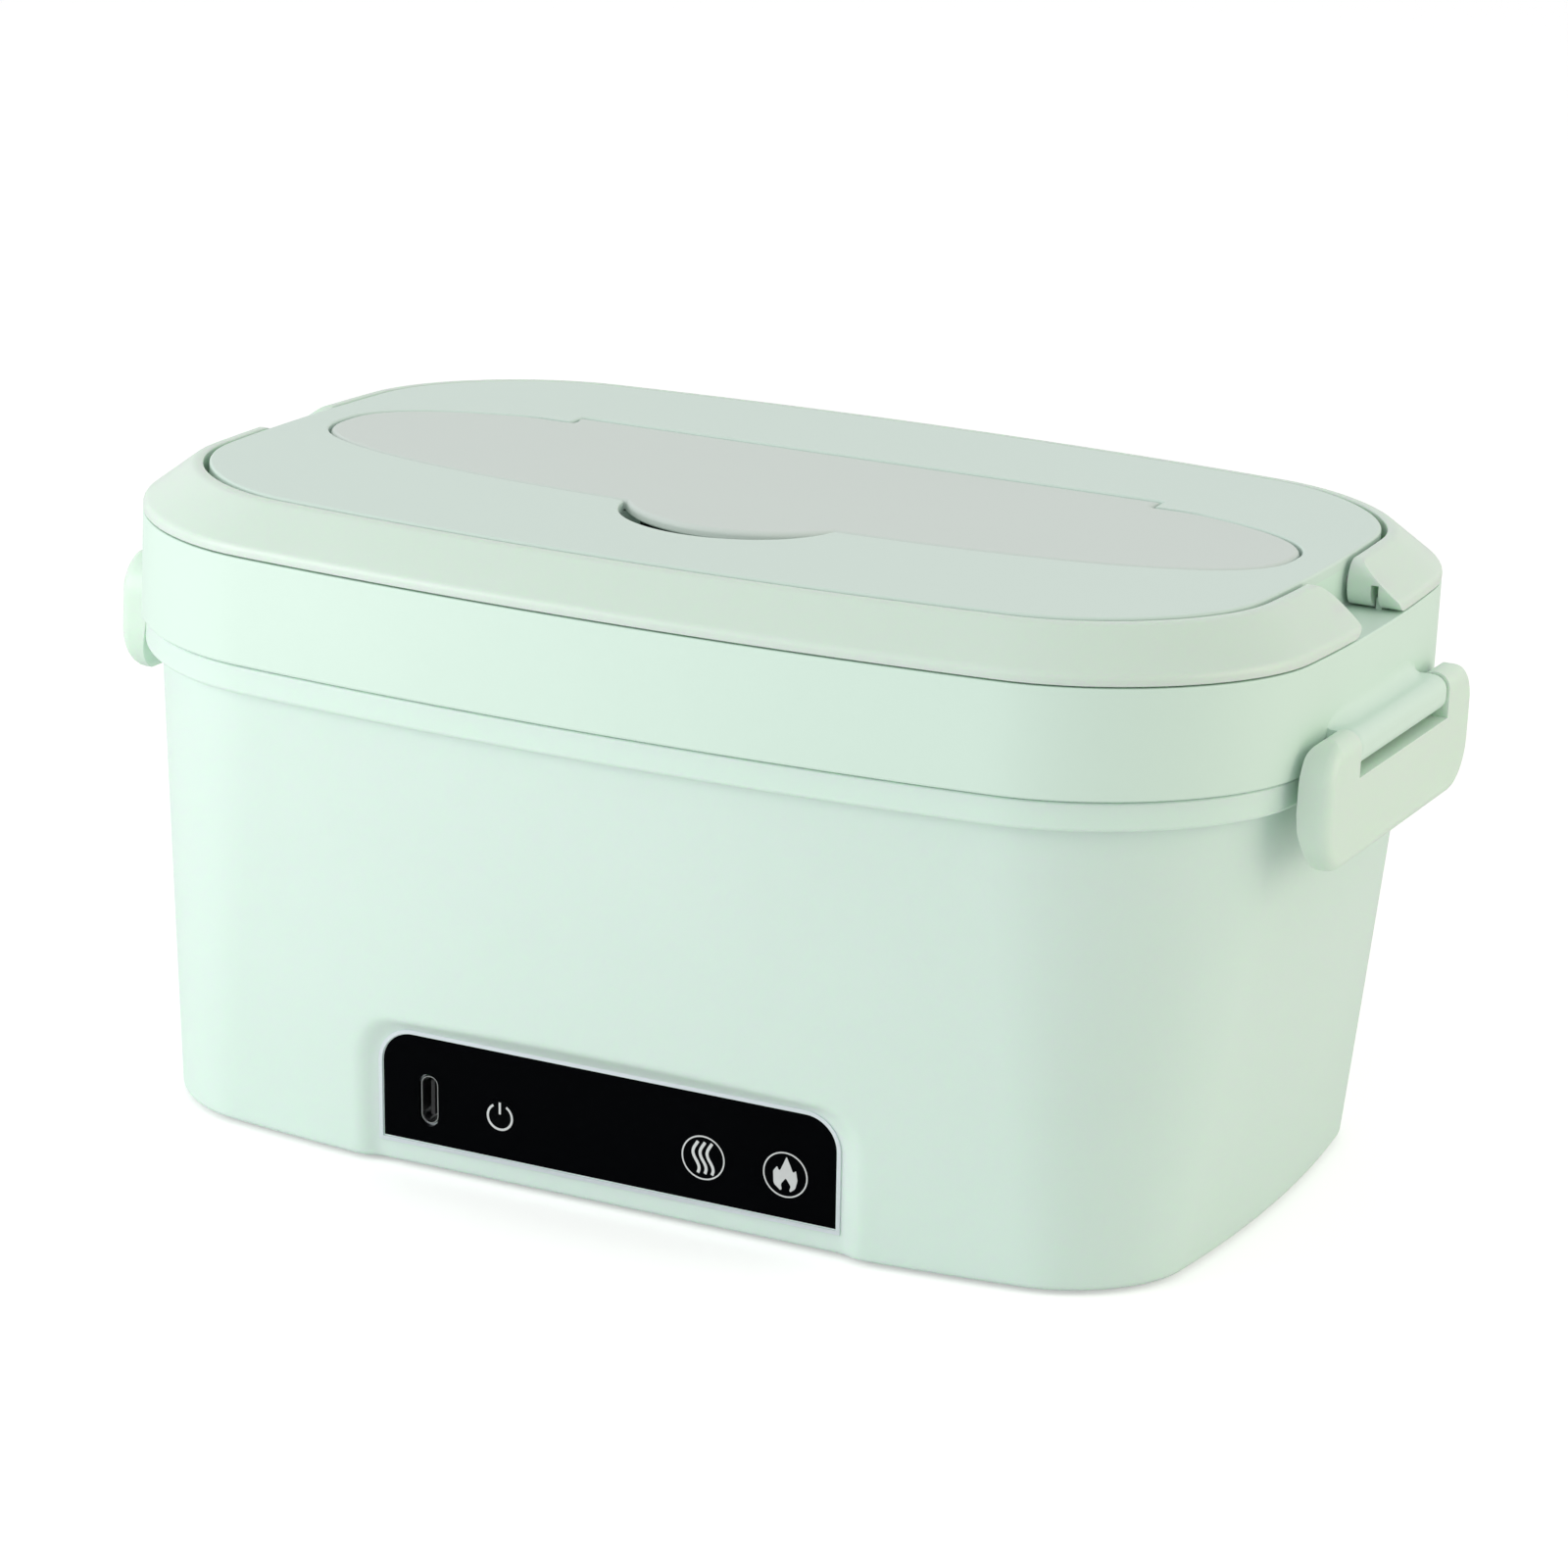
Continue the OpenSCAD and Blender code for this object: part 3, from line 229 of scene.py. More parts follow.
class Shape:
    """A mesh under construction."""

    def __init__(self) -> None:
        """Starts with an empty mesh."""
        self.bm = bmesh.new()

    def mesh(self, name: str) -> bpy.types.Mesh:
        """Copy of the shape as a mesh."""
        made = bpy.data.meshes.new(name)
        self.bm.to_mesh(made)
        return made

    def ring(self, points: Iterable[Point]) -> list[bmesh.types.BMVert]:
        """Adds a closed ring of edges.

        Args:
            points: Places that it runs through.

        Returns:
            Its vertices, in order.
        """
        verts = [self.bm.verts.new(p) for p in points]
        for a, b in zip(verts, verts[1:] + verts[:1]):
            self.bm.edges.new((a, b))
        return verts

    def grow(self, ring: list[bmesh.types.BMVert], points: Iterable[Point]) -> list[bmesh.types.BMVert]:
        """Extrudes a ring of edges to new places.

        Args:
            ring: Vertices of the ring, in order.
            points: Places of the new ring's vertices, in the same order.

        Returns:
            The new ring's vertices.
        """
        edges = [self.bm.edges.get((a, b)) for a, b in zip(ring, ring[1:] + ring[:1])]
        made = bmesh.ops.extrude_edge_only(self.bm, edges=edges)["geom"]
        fresh = {v for v in made if isinstance(v, bmesh.types.BMVert)}
        step = {e.other_vert(v): v for v in fresh for e in v.link_edges if e.other_vert(v) not in fresh}
        new = [step[v] for v in ring]
        for vert, point in zip(new, points):
            vert.co = point
        return new

    def loft(self, rings: Sequence[Sequence[Point]], closed: bool = False) -> Shape:
        """Adds a skin through rings of equal length.

        Args:
            rings: Points of each ring.
            closed: Whether the last ring joins the first, instead of a cap on each end.

        Returns:
            The shape itself.
        """
        first = last = self.ring(rings[0])
        for points in rings[1:]:
            last = self.grow(last, points)
        if closed:
            self.grow(last, rings[0])
            bmesh.ops.remove_doubles(self.bm, verts=self.bm.verts[:], dist=MERGE)
        else:
            self.bm.faces.new(first)
            self.bm.faces.new(last)
        return self

    def block(self, low: Point, high: Point) -> Shape:
        """Adds a box.

        Args:
            low: Its corner with the smallest coordinates.
            high: Its corner with the largest.

        Returns:
            The shape itself.
        """
        made = bmesh.ops.create_cube(self.bm, size=1.0)["verts"]
        bmesh.ops.scale(self.bm, vec=[h - l for l, h in zip(low, high)], verts=made)
        bmesh.ops.translate(self.bm, vec=[(h + l) / 2 for l, h in zip(low, high)], verts=made)
        return self

    def carve(self, other: Shape, how: Cut) -> Shape:
        """Combines the shape with another closed one.

        Args:
            other: The other shape, which is used up.
            how: Way to combine them.

        Returns:
            The shape itself.
        """
        made = []
        for shape in (self, other):
            bmesh.ops.recalc_face_normals(shape.bm, faces=shape.bm.faces[:])
            made.append(linked("carve", shape.mesh("carve")))
        tool = made[0].modifiers.new("carve", "BOOLEAN")
        tool.operation, tool.solver, tool.object = how.value, "EXACT", made[1]
        bpy.context.view_layer.update()
        graph = bpy.context.evaluated_depsgraph_get()
        result = bpy.data.meshes.new_from_object(made[0].evaluated_get(graph))
        self.bm.clear()
        self.bm.from_mesh(result)
        # The solver leaves vertices with only two edges, which can keep the mesh from closing.
        idle = [v for v in self.bm.verts if len(v.link_edges) == 2]
        bmesh.ops.dissolve_verts(self.bm, verts=idle)
        other.bm.free()
        for piece in made:
            mesh = piece.data
            bpy.data.objects.remove(piece)
            bpy.data.meshes.remove(mesh)
        bpy.data.meshes.remove(result)
        return self

    def soften(self, width: float, angle: float, segments: int,
               where: Callable[[Vector], bool] = lambda _: True) -> Shape:
        """Bevels the edges that are sharper than an angle.

        Args:
            width: Width of the bevel.
            angle: Smallest angle between the faces of a bevelled edge, in degrees.
            segments: Number of faces across the bevel.
            where: Test of an edge's middle, for a bevel on a part of the shape.

        Returns:
            The shape itself.
        """
        bmesh.ops.dissolve_degenerate(self.bm, dist=MERGE * 10, edges=self.bm.edges[:])
        limit = math.radians(angle)
        edges = [e for e in self.bm.edges
                 if len(e.link_faces) == 2 and e.calc_face_angle(0.0) > limit
                 and where((e.verts[0].co + e.verts[1].co) / 2)]
        bmesh.ops.bevel(self.bm, geom=edges, offset=width, offset_type="OFFSET", segments=segments,
                        profile=0.5, affect="EDGES", clamp_overlap=True, material=-1)
        return self

    def mirrored(self, axis: int) -> Shape:
        """Turns the shape into its mirror image across the middle plane of an axis."""
        flip = [-1.0 if k == axis else 1.0 for k in range(3)]
        bmesh.ops.scale(self.bm, vec=flip, verts=self.bm.verts[:])
        return self

    def piece(self, name: str, finish: Finish, body: Body, slot: str, *replaces: str) -> None:
        """Makes the shape a finished piece, which uses it up.

        Args:
            name: Name of the piece.
            finish: Finish on all its faces.
            body: Body that it rides on.
            slot: Material slot of the record, which is not used.
            *replaces: Nodes that it stands for.
        """
        bmesh.ops.remove_doubles(self.bm, verts=self.bm.verts[:], dist=MERGE)
        bmesh.ops.recalc_face_normals(self.bm, faces=self.bm.faces[:])
        bmesh.ops.scale(self.bm, vec=(MM, MM, MM), verts=self.bm.verts[:])
        mesh = self.mesh(name)
        self.bm.free()
        mesh.polygons.foreach_set("use_smooth", [True] * len(mesh.polygons))
        mesh.set_sharp_from_angle(angle=math.radians(SHARP))
        mesh.materials.append(finish.material())
        made = linked(name, mesh)
        made.modifiers.new("normals", "WEIGHTED_NORMAL").keep_sharp = True
        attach(made, body.value)
        if replaces:
            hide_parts(*replaces)
        LOG.info("%s: %d faces on %s", name, len(mesh.polygons), body.value)


def prism(outline: Sequence[Flat], low: float, high: float, axis: str = "z") -> Shape:
    """Solid that extends an outline straight along an axis.

    Args:
        outline: Points, as x and y, or x and z along y, or y and z along x.
        low: Place of its first end.
        high: Place of its last end.
        axis: Name of the axis.

    Returns:
        The solid.
    """
    place: dict[str, Callable[[Flat, float], Point]] = {
        "x": lambda p, w: (w, p[0], p[1]),
        "y": lambda p, w: (p[0], w, p[1]),
        "z": lambda p, w: (p[0], p[1], w),
    }
    return Shape().loft([[place[axis](p, w) for p in outline] for w in (low, high)])


# ---------------------------------------------------------------- shader kit


class Value:
    """A socket's output that takes part in arithmetic, one Math node for each sign."""

    def __init__(self, net: Net, socket: bpy.types.NodeSocket | None) -> None:
        """Wraps one output socket of a net."""
        self.net = net
        self.socket = socket

    def maths(self, operation: str, a: Value | float, b: Value | float) -> Value:
        """Adds a Math node on two values."""
        return self.net.node("ShaderNodeMath", {"operation": operation}, {0: a, 1: b})

    def __add__(self, other: Value | float) -> Value:
        """Sum of two values."""
        return self.maths("ADD", self, other)

    def __sub__(self, other: Value | float) -> Value:
        """Difference of two values."""
        return self.maths("SUBTRACT", self, other)

    def __rsub__(self, other: float) -> Value:
        """Number less this value."""
        return self.maths("SUBTRACT", other, self)

    def __mul__(self, other: Value | float) -> Value:
        """Product of two values."""
        return self.maths("MULTIPLY", self, other)

    __radd__ = __add__
    __rmul__ = __mul__


class Net:
    """The nodes of one material, or of the world."""

    def __init__(self, made: bpy.types.Material | bpy.types.World) -> None:
        """Empties the nodes of a new material or world."""
        self.made = made
        made.use_nodes = True
        self.tree = made.node_tree
        self.tree.nodes.clear()

    def node(self, kind: str, settings: dict[str, object] | None = None,
             inputs: dict[int | str, object] | None = None, output: int | str = 0) -> Value:
        """Adds a node.

        Args:
            kind: Type of the node.
            settings: Attributes that are set first, among them "stops" for a ramp.
            inputs: Values or links, by the names or numbers of its sockets.
            output: Name or number of the output socket to hand back.

        Returns:
            The output socket.
        """
        made = self.tree.nodes.new(kind)
        for key, value in (settings or {}).items():
            if key == "stops":
                ramp = made.color_ramp
                for i, (place, grey) in enumerate(value):
                    stop = ramp.elements[i] if i < 2 else ramp.elements.new(place)
                    stop.position, stop.color = place, (grey, grey, grey, 1.0)
            else:
                setattr(made, key, value)
        for key, value in (inputs or {}).items():
            if isinstance(value, Value):
                self.tree.links.new(value.socket, made.inputs[key])
            else:
                made.inputs[key].default_value = value
        return Value(self, made.outputs[output]) if made.outputs else Value(self, None)

    def place(self, stretch: Point = (1.0, 1.0, 1.0)) -> Value:
        """Object coordinates, stretched along the axes."""
        coordinates = self.node("ShaderNodeTexCoord", output="Object")
        return self.node("ShaderNodeMapping", inputs={"Vector": coordinates, "Scale": stretch})

    def noise(self, scale: float, detail: float, stretch: Point = (1.0, 1.0, 1.0)) -> Value:
        """Noise from 0 to 1, whose scale is in repeats to the metre."""
        inputs = {"Vector": self.place(stretch), "Scale": scale, "Detail": detail}
        return self.node("ShaderNodeTexNoise", None, inputs, "Fac")

    def blend(self, share: Value | float, a: Colour | Value, b: Colour | Value) -> Value:
        """Mix of two colours."""
        ends = [(*c, 1.0) if isinstance(c, tuple) else c for c in (a, b)]
        return self.node("ShaderNodeMix", {"data_type": "RGBA"}, {0: share, 6: ends[0], 7: ends[1]}, 2)

    def shade(self, share: Value, colour: Colour, low: float, high: float) -> Value:
        """Colour times a factor that goes from low to high with a share."""
        return self.blend(share, tinted(colour, low), tinted(colour, high))

    def bump(self, height: Value, depth: float) -> Value:
        """Normal of a surface whose relief has the given depth in metres."""
        return self.node("ShaderNodeBump", None, {"Height": height, "Distance": depth}, "Normal")

    def surface(self, **inputs: object) -> bpy.types.Material:
        """Ends the material in a Principled BSDF.

        Args:
            **inputs: Values or links, by the names of its sockets with _ for a space.

        Returns:
            The material.
        """
        named = {}
        for key, value in inputs.items():
            flat = isinstance(value, tuple) and key.endswith("Color")
            named[key.replace("_", " ")] = (*value, 1.0) if flat else value
        self.node("ShaderNodeOutputMaterial", None,
                  {"Surface": self.node("ShaderNodeBsdfPrincipled", None, named)})
        return self.made


# ---------------------------------------------------------------- finishes


def tinted(colour: Colour, factor: float) -> Colour:
    """Colour times a factor, kept below 1."""
    return tuple(min(channel * factor, 1.0) for channel in colour)


def swung(middle: float, *parts: tuple[Value, float]) -> Value:
    """Number that swings about its middle, by parts that each go from 0 to 1 times their share."""
    total = middle - sum(share for _, share in parts) / 2
    first, *rest = (value * share for value, share in parts)
    return sum(rest, first) + total


@dataclass(frozen=True)
class Finish:
    """A finish that is made once and shared by the pieces that carry it."""

    name: str

    def material(self) -> bpy.types.Material:
        """The finish's material, made when it is first asked for."""
        return bpy.data.materials.get(self.name) or self.build(Net(bpy.data.materials.new(self.name)))

    def build(self, net: Net) -> bpy.types.Material:
        """Builds the nodes."""
        raise NotImplementedError


@dataclass(frozen=True)
class Plastic(Finish):
    """Moulded plastic with a fine spark-eroded grain and faint flow marks."""

    colour: Colour = (0.7, 0.85, 0.75)
    roughness: float = 0.4
    grain: float = 0.000012
    grain_scale: float = 2600.0
    flow_scale: float = 22.0
    mottle: float = 0.02
    pores: float = 0.06
    pore_tint: float = 0.9
    swing: Flat = (0.05, 0.06)
    coat: float = 0.0
    coat_roughness: float = 0.25
    depth: float = 0.0
    scatter: Colour = (0.45, 1.0, 0.4)
    scatter_scale: float = 0.004

    def build(self, net: Net) -> bpy.types.Material:
        """Builds the nodes."""
        flow = net.noise(self.flow_scale, 3.0)
        grain = net.noise(self.grain_scale, 2.0)
        colour = net.shade(flow, self.colour, 1 - self.mottle, 1 + self.mottle)
        colour = net.blend(grain * self.pores, colour, tinted(self.colour, self.pore_tint))
        roughness = swung(self.roughness, (flow, self.swing[0]), (grain, self.swing[1]))
        return net.surface(Base_Color=colour, Roughness=roughness, Coat_Weight=self.coat,
                           Coat_Roughness=self.coat_roughness, Subsurface_Weight=self.depth,
                           Subsurface_Radius=self.scatter, Subsurface_Scale=self.scatter_scale,
                           Normal=net.bump(grain, self.grain))


@dataclass(frozen=True)
class Metal(Finish):
    """Metal with rolling lines along one axis and a light cloud of handling marks."""

    colour: Colour = (0.72, 0.73, 0.74)
    roughness: float = 0.28
    stretch: Point = (1.0, 60.0, 60.0)
    lines: float = 0.000004
    line_scale: float = 90.0
    cloud_scale: float = 35.0
    tint: Flat = (0.93, 1.05)
    swing: Flat = (0.12, 0.1)

    def build(self, net: Net) -> bpy.types.Material:
        """Builds the nodes."""
        lines = net.noise(self.line_scale, 4.0, self.stretch)
        cloud = net.noise(self.cloud_scale, 3.0)
        roughness = swung(self.roughness, (lines, self.swing[0]), (cloud, self.swing[1]))
        return net.surface(Base_Color=net.shade(lines, self.colour, *self.tint), Metallic=1.0,
                           Roughness=roughness, Normal=net.bump(lines, self.lines))


@dataclass(frozen=True)
class Soft(Finish):
    """Rubber, silicone or felt: matt, with an open grain."""

    colour: Colour = (0.05, 0.055, 0.05)
    roughness: float = 0.75
    grain_scale: float = 1200.0
    depth: float = 0.00004
    cloud_scale: float = 60.0
    tint: Flat = (0.85, 1.12)
    swing: Flat = (-0.07, 0.08)

    def build(self, net: Net) -> bpy.types.Material:
        """Builds the nodes."""
        grain = net.noise(self.grain_scale, 4.0)
        cloud = net.noise(self.cloud_scale, 3.0)
        low, high = self.swing
        return net.surface(Base_Color=net.shade(cloud, self.colour, *self.tint),
                           Roughness=grain * (high - low) + (self.roughness + low),
                           Normal=net.bump(grain, self.depth))


@dataclass(frozen=True)
class Film(Finish):
    """Amber film heater with the zigzag of its foil."""

    amber: Colour = (0.45, 0.17, 0.02)
    foil: Colour = (0.5, 0.42, 0.3)
    pitch: float = 260.0
    shine: float = 0.7
    relief: float = 0.00003
    cloud_scale: float = 80.0

    def build(self, net: Net) -> bpy.types.Material:
        """Builds the nodes."""
        inputs = {"Vector": net.place(), "Scale": self.pitch / math.tau, "Distortion": 0.0}
        wave = net.node("ShaderNodeTexWave", {"wave_type": "BANDS", "bands_direction": "Y"}, inputs, "Fac")
        track = net.node("ShaderNodeValToRGB", {"stops": [(0.45, 0.0), (0.55, 1.0)]}, {"Fac": wave})
        cloud = net.noise(self.cloud_scale, 3.0)
        return net.surface(Base_Color=net.blend(track, self.amber, self.foil), Metallic=track * self.shine,
                           Roughness=cloud * 0.1 + 0.3, Normal=net.bump(track, self.relief))


@dataclass(frozen=True)
class Board(Finish):
    """Circuit board: green resist over copper tracks."""

    resist: Colour = (0.012, 0.12, 0.045)
    track: Colour = (0.03, 0.2, 0.08)
    cells: float = 170.0
    coat: float = 0.4
    relief: float = 0.00004

    def build(self, net: Net) -> bpy.types.Material:
        """Builds the nodes."""
        cells = net.node("ShaderNodeTexVoronoi", {"feature": "DISTANCE_TO_EDGE", "distance": "MANHATTAN"},
                         {"Vector": net.place(), "Scale": self.cells}, "Distance")
        lines = net.node("ShaderNodeValToRGB", {"stops": [(0.05, 1.0), (0.1, 0.0)]}, {"Fac": cells})
        return net.surface(Base_Color=net.blend(lines, self.resist, self.track), Coat_Weight=self.coat,
                           Roughness=0.42 - lines * 0.1, Normal=net.bump(lines, self.relief))


@dataclass(frozen=True)
class Gloss(Finish):
    """Smooth printed or polished plastic with a faint orange peel."""

    colour: Colour = (0.002, 0.003, 0.004)
    roughness: float = 0.22
    peel: float = 0.000008
    specular: float = 0.5
    peel_scale: float = 420.0
    cloud_scale: float = 45.0
    tint: Flat = (0.85, 1.15)
    swing: float = 0.08

    def build(self, net: Net) -> bpy.types.Material:
        """Builds the nodes."""
        cloud = net.noise(self.cloud_scale, 3.0)
        relief = net.bump(net.noise(self.peel_scale, 2.0), self.peel)
        return net.surface(Base_Color=net.shade(cloud, self.colour, *self.tint),
                           Roughness=swung(self.roughness, (cloud, self.swing)),
                           Specular_IOR_Level=self.specular, Normal=relief)


BODY_MINT = Plastic("body_mint", (0.70, 0.872, 0.775), depth=0.35)
LID_MINT = Plastic("lid_mint", (0.685, 0.855, 0.755))
HANDLE_MINT = Plastic("handle_mint", (0.675, 0.81, 0.71), roughness=0.36, coat=0.1, depth=0.35)
DECK_MINT = Plastic("deck_plastic", (0.68, 0.815, 0.745), roughness=0.42)
COVER_GREY = Plastic("cover_plastic", (0.672, 0.748, 0.705), roughness=0.46)
LATCH_MINT = Plastic("latch_mint", (0.70, 0.84, 0.735), roughness=0.38, depth=0.35)
WELL_GREY = Plastic("well_plastic", (0.42, 0.45, 0.44), roughness=0.5)
LINER_WHITE = Plastic("liner_plastic", (0.78, 0.82, 0.8), roughness=0.38)
BLACK_PLASTIC = Plastic("black_moulding", (0.012, 0.012, 0.014), roughness=0.45)
WHITE_PLASTIC = Plastic("white_moulding", (0.75, 0.75, 0.7), roughness=0.4)
WIRE_RED = Plastic("wire_sleeve", (0.45, 0.02, 0.015), roughness=0.35, grain_scale=900.0)
OVERLAY_BLACK = Gloss("overlay_gloss", (0.0008, 0.001, 0.0015), roughness=0.3, specular=0.015)
BUTTON_BLACK = Gloss("button_gloss", (0.0012, 0.0015, 0.002), roughness=0.3, specular=0.02)
INK_WHITE = Gloss("printed_ink", (0.62, 0.64, 0.64), roughness=0.5)
LENS_CLEAR = Gloss("led_lens_plastic", (0.8, 0.78, 0.6), roughness=0.15)
BEZEL_SILVER = Metal("silver_lacquer", (0.8, 0.86, 0.9), roughness=0.42, lines=0.000002)
PRESSED_STEEL = Metal("pressed_steel", (0.66, 0.67, 0.68), roughness=0.3)
# Plated steel of the USB socket. Its colour is darker than the other steels, as painted shade for the dim
# inside of the socket.
SOCKET_STEEL_WITH_PAINTED_SHADE = Metal("socket_shell", (0.46, 0.47, 0.47), roughness=0.24, stretch=(1.0, 1.0, 20.0))
SCREW_STEEL = Metal("plated_steel", (0.55, 0.55, 0.56), roughness=0.3, stretch=(1.0, 1.0, 1.0))
ALUMINIUM = Metal("rolled_aluminium", (0.75, 0.76, 0.78), roughness=0.36, stretch=(1.0, 40.0, 40.0))
SILICONE = Soft("seal_silicone_white", (0.78, 0.78, 0.75), roughness=0.55, depth=0.00001)
RUBBER = Soft("foot_rubber_dark", (0.035, 0.04, 0.038))
FELT = Soft("insulation_fibre", (0.68, 0.68, 0.62), roughness=0.9, grain_scale=800.0, depth=0.0002)
FILM_AMBER = Film("film_heater_foil")
BOARD_GREEN = Board("board_resist")

CARRIED: dict[Finish, tuple[str, ...]] = {
    ALUMINIUM: ("heater_plate",),
    FILM_AMBER: ("heater_film",),
    FELT: ("insulation_pad",),
    BLACK_PLASTIC: ("thermal_cutout", "usb_tongue", "button_switch"),
    WIRE_RED: ("heater_wires",),
    BODY_MINT: ("base_cover",),
    SCREW_STEEL: ("base_screws", "board_screws", "deck_screws", "handle_pins", "latch_pins", "cover_pins"),
    RUBBER: ("feet",),
    BEZEL_SILVER: ("panel_frame",),
    OVERLAY_BLACK: ("panel_overlay",),
    BUTTON_BLACK: ("power_button",),
    BOARD_GREEN: ("control_board",),
    WHITE_PLASTIC: ("board_connector", "light_guides"),
    LENS_CLEAR: ("status_leds",),
}


# ---------------------------------------------------------------- outlines of the lunch box


@dataclass(frozen=True)
class Levels:
    """Heights that the sub-assemblies share, above the surface that the box stands on."""

    body: float = 0.8
    well: float = 30.8
    heater: float = 32.6
    container: float = 34.8
    collar: float = 84.1
    flange: float = 87.7
    rim: float = 89.3
    seam: float = 89.5
    gasket: float = 90.2
    liner: float = 92.0
    liner_top: float = 97.8
    tray: float = 98.6
    shelf: float = 108.7
    ring: float = 109.0
    pivot: float = 112.7
    plate: float = 115.6
    crest: float = 117.4
    top: float = 117.6


Z = Levels()


@dataclass(frozen=True)
class Rim:
    """Outline of the lid wall and the outlines inside it."""

    half_length: float = 112.0
    half_width: float = 77.5
    corner: float = 35.6
    shrink: float = 0.6
    long_bow: float = 9.1
    short_bow: float = 4.9
    fade: float = 0.026

    def outline(self, inset: float) -> list[Flat]:
        """Outline that lies inset inside the lid wall."""
        return bowed(self.half_length - inset, self.half_width - inset, self.corner - self.shrink * inset,
                     self.long_bow, self.short_bow * max(0.0, 1 - self.fade * inset))

    def ring(self, inset: float, z: float) -> list[Point]:
        """The outline at a height."""
        return level(self.outline(inset), z)

    def sweep(self, profile: Sequence[Flat], closed: bool = True) -> Shape:
        """Solid from a profile of insets and heights, carried round the outline."""
        return Shape().loft([self.ring(inset, z) for inset, z in profile], closed)

    def wall_x(self, y: float) -> float:
        """Distance of the short wall from the middle, at y near its centre."""
        return self.half_length - self.short_bow * (y / (self.half_width - self.long_bow)) ** 2


RIM = Rim()


@dataclass(frozen=True)
class Panel:
    """The leaning frame of reference of the control panel: along, depth into the body, height."""

    y: float = -63.7
    lean: float = math.atan(6.8 / 83.3)
    half: float = 45.1
    bottom: float = 3.9
    top: float = 25.9
    corner: float = 6.8
    lip: float = 0.9
    side_slope: float = 2.47
    top_slope: float = 0.946
    socket_x: float = -35.2
    button_x: float = -20.9
    warm_x: float = 18.9
    heat_x: float = 34.6
    rise: float = 13.0

    def world(self, along: float, depth: float, height: float) -> Point:
        """Place in the box's frame of a point on the panel."""
        c, s = math.cos(self.lean), math.sin(self.lean)
        return along, self.y + depth * c - height * s, Z.body + depth * s + height * c

    def local(self, x: float, y: float, z: float) -> Point:
        """Along, depth and height of a place in the box's frame."""
        c, s = math.cos(self.lean), math.sin(self.lean)
        dy, dz = y - self.y, z - Z.body
        return x, dy * c + dz * s, dz * c - dy * s

    def opening(self) -> list[Flat]:
        """Opening behind the panel, as along and height, square at the bottom and rounded at the top."""
        half, r = self.half - self.lip, self.corner - self.lip
        bottom, top = self.bottom + self.lip, self.top - self.lip
        return [(-half, bottom), (half, bottom), *arc(half - r, top - r, r, 0, 90, steps=12),
                *arc(r - half, top - r, r, 90, 180, steps=12)]

    def slope(self, along: float, height: float) -> float:
        """How far the sides of the niche have come forward at a place, negative on its floor.

        Args:
            along: Distance from the middle.
            height: Height above the tub's bottom edge.

        Returns:
            The distance in front of the panel's plane.
        """
        along, rise = abs(along), height - (self.top - self.corner)
        if rise <= 0:
            return (along - self.half) / self.side_slope
        over = along - (self.half - self.corner)
        k, q, r = self.side_slope - self.top_slope, self.top_slope, self.corner
        straight = (height - self.top) / q
        if over <= k * max(straight, 0.0):
            return straight
        a, b, c = k * k - q * q, over * k + r * q, over * over + rise * rise - r * r
        return (b - math.sqrt(max(b * b - a * c, 0.0))) / a


PANEL = Panel()


# ---------------------------------------------------------------- base


